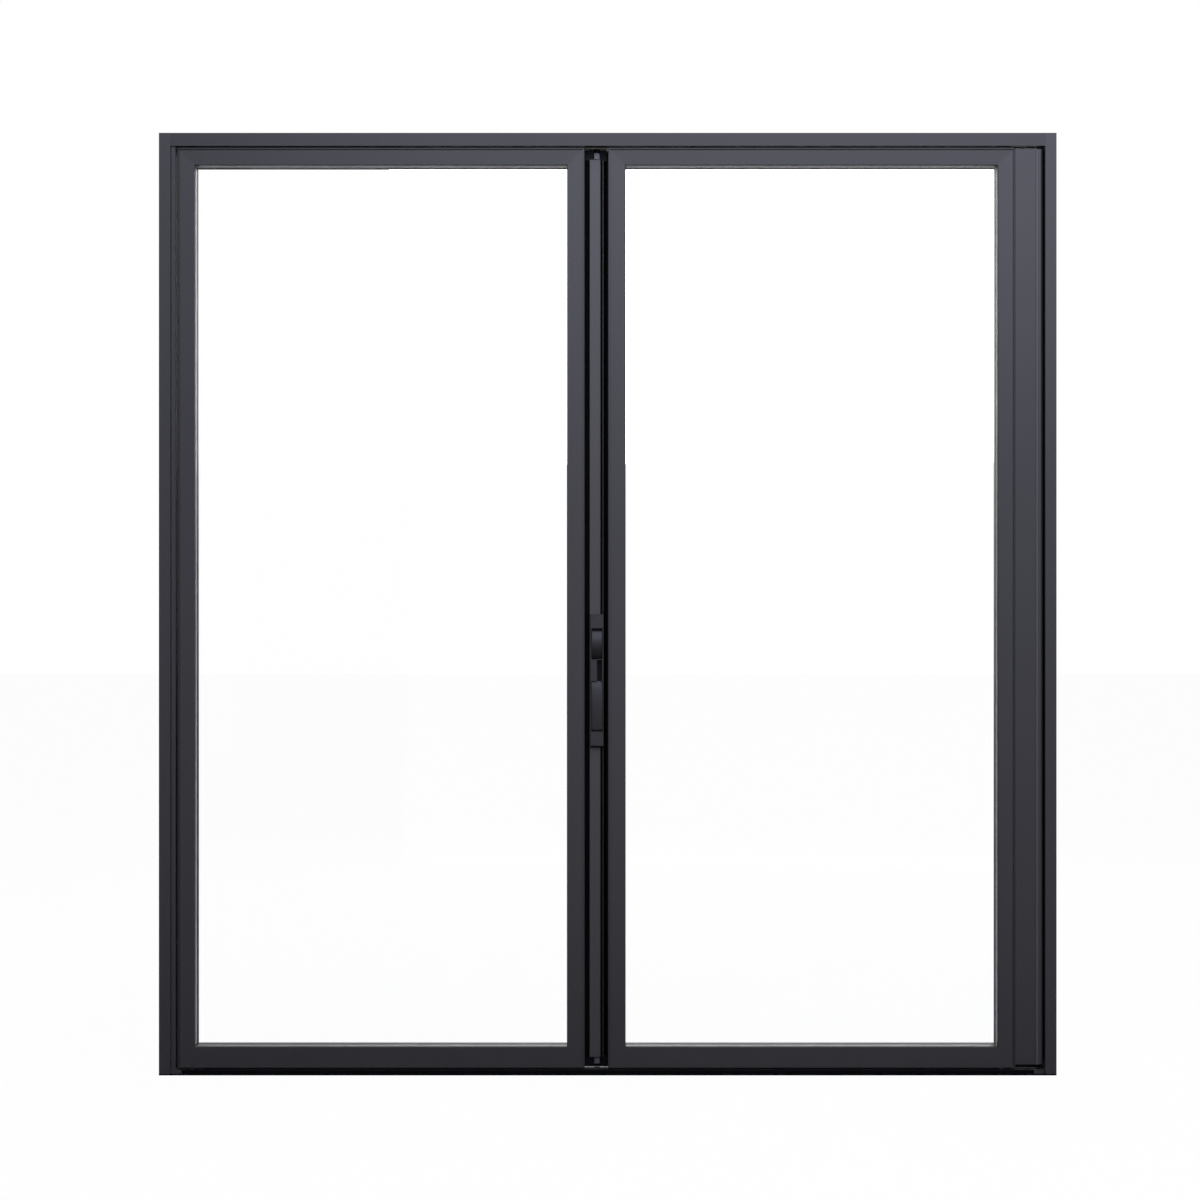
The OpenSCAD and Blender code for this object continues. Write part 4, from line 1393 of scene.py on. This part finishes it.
@dataclass
class Dressing(Assembly):
    """Finishes of the solids from the record, with lit and shaded copies of the coat on some and painted
    shade in some gaps.
    """

    # Painted light on the lock post, lighter than the coat in its recess; painted shade on the head and top
    # rails, darker under the lamp's sheen.
    shades: dict[str, Shade] = field(
        default_factory=lambda: {
            "lock_post": Shade.POST,
            "head": Shade.RAIL,
            "left_top_rail": Shade.RAIL,
            "right_top_rail": Shade.RAIL,
        }
    )
    # Swapped finishes: black nylon on the lever pin and the lock case is painted shade where they show in
    # dark gaps; the sill's end blocks take the plain coat.
    gap_shade_and_plain: dict[str, Slot] = field(
        default_factory=lambda: {
            "lever_pin": Slot.NYLON,
            "lock_case": Slot.NYLON,
            "sill_end_blocks": Slot.COAT,
        }
    )

    def build(self) -> None:
        """Gives every solid the finish of its slot or its swapped one, with the lit and shaded copies of
        the coat where listed.
        """
        for part in frame["record"]["subparts"]:
            node = part["node"]
            slot = self.gap_shade_and_plain.get(node, Slot(part["material_slot"]))
            self.palette.dress(frame["nodes"][node], slot, self.shades.get(node, Shade.PLAIN))
            log.info("%s in %s", node, slot.value)


@dataclass(frozen=True)
class Lamp:
    """A soft square lamp: its place, the length of its side, its power in watts and its colour."""

    name: str
    place: Point
    size: float
    power: float
    tint: Point = (1.0, 1.0, 1.0)


@dataclass
class Studio:
    """White studio with soft light from the upper right and a dim floor in front."""

    away: float = 5.55
    half_view: float = 1.3367
    eye: Point = (-0.0172, -0.05, 1.0592)
    aim: Point = (0.0, 0.0, 1.1)
    front_low: Colour = grey(0.004)
    front_high: Colour = (0.80, 0.83, 1.30, 1.0)
    white: Colour = grey(1.0)
    lean: float = 0.5
    rise: Pair = (-0.3, 0.58)
    ceiling: Pair = (0.6, 0.9)
    ceiling_dim: float = 0.8
    behind: Pair = (0.35, 0.8)
    floor_side: float = 60.0
    floor_drop: float = 0.5 * MM
    lamps: tuple[Lamp, ...] = (
        Lamp("key_lamp", (0.65, -3.4, 3.9), 4.6, 155.0, (0.92, 0.95, 1.12)),
        Lamp("side_lamp", (-2.6, -3.6, 1.9), 3.0, 5.0),
        Lamp("low_lamp", (0.4, -4.4, 0.75), 2.4, 8.0, (1.0, 0.99, 0.95)),
        Lamp("rear_lamp", (0.6, 4.2, 3.0), 3.0, 60.0),
    )

    def build(self) -> None:
        """Sets up camera, floor, world and lamps."""
        scene = bpy.context.scene
        scene.view_settings.view_transform = "Standard"
        self.camera(scene)
        self.world(scene)
        self.floor()
        for lamp in self.lamps:
            self.hang(lamp)

    def camera(self, scene: bpy.types.Scene) -> None:
        """Puts a level camera in front of the door.

        Args:
            scene: The scene that takes the camera.
        """
        lens = bpy.data.cameras.new("front_camera")
        lens.angle = 2 * math.atan(self.half_view / self.away)
        eye = bpy.data.objects.new("front_camera", lens)
        eye.location = (self.eye[0], self.eye[1] - self.away, self.eye[2])
        eye.rotation_euler = (math.pi / 2, 0.0, 0.0)
        scene.collection.objects.link(eye)
        scene.camera = eye

    def world(self, scene: bpy.types.Scene) -> None:
        """Lights the room white behind the door and shaded in front of it.

        Args:
            scene: The scene that takes the world.
        """
        world = bpy.data.worlds.new("white_studio")
        world.use_nodes = True
        scene.world = world
        graph = NodeGraph(world.node_tree)
        way = graph.add("ShaderNodeTexCoord", out="Generated")
        x, y, z = (graph.add("ShaderNodeSeparateXYZ", None, {0: way}, axis) for axis in "XYZ")
        dimmed = 1.0 - z.ramp(*self.ceiling) * self.ceiling_dim
        above = (z + x * self.lean).ramp(*self.rise) * dimmed
        front = graph.blend(above, self.front_low, self.front_high)
        room = graph.blend(y.ramp(*self.behind), front, self.white)
        tone = graph.blend(graph.seen(), room, self.white)
        light = graph.add("ShaderNodeBackground", None, {"Color": tone, "Strength": 1.0})
        graph.add("ShaderNodeOutputWorld", None, {"Surface": light})

    def floor(self) -> None:
        """Lays a pale floor that keeps the door's shadow."""
        Workpiece.clear()
        place = (0.0, 0.0, -self.floor_drop)
        bpy.ops.mesh.primitive_plane_add(size=self.floor_side, location=place)
        floor = bpy.context.object
        floor.name = "studio_floor"
        floor.data.materials.append(PaleFloor("pale_floor").material())

    def hang(self, lamp: Lamp) -> None:
        """Hangs a lamp that points at the middle of the door.

        Args:
            lamp: The lamp to hang.
        """
        light = bpy.data.lights.new(lamp.name, "AREA")
        light.shape = "SQUARE"
        light.size = lamp.size
        light.energy = lamp.power
        light.color = lamp.tint
        hung = bpy.data.objects.new(lamp.name, light)
        hung.location = lamp.place
        way = Vector(self.aim) - Vector(lamp.place)
        hung.rotation_euler = way.to_track_quat("-Z", "Y").to_euler()
        bpy.context.scene.collection.objects.link(hung)


def main() -> None:
    """Builds the studio, the finishes and every piece."""
    logging.basicConfig(level=logging.INFO, format="%(name)s: %(message)s")
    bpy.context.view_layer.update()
    Studio().build()
    palette = Palette()
    palette.mix()
    Dressing(palette).build()
    for kind in (LockSet, GapSealAndLightStrip, ShootBolts, Hinges, FineEdges, SillTrim):
        kind(palette).build()


if __name__ == "__main__":
    main()
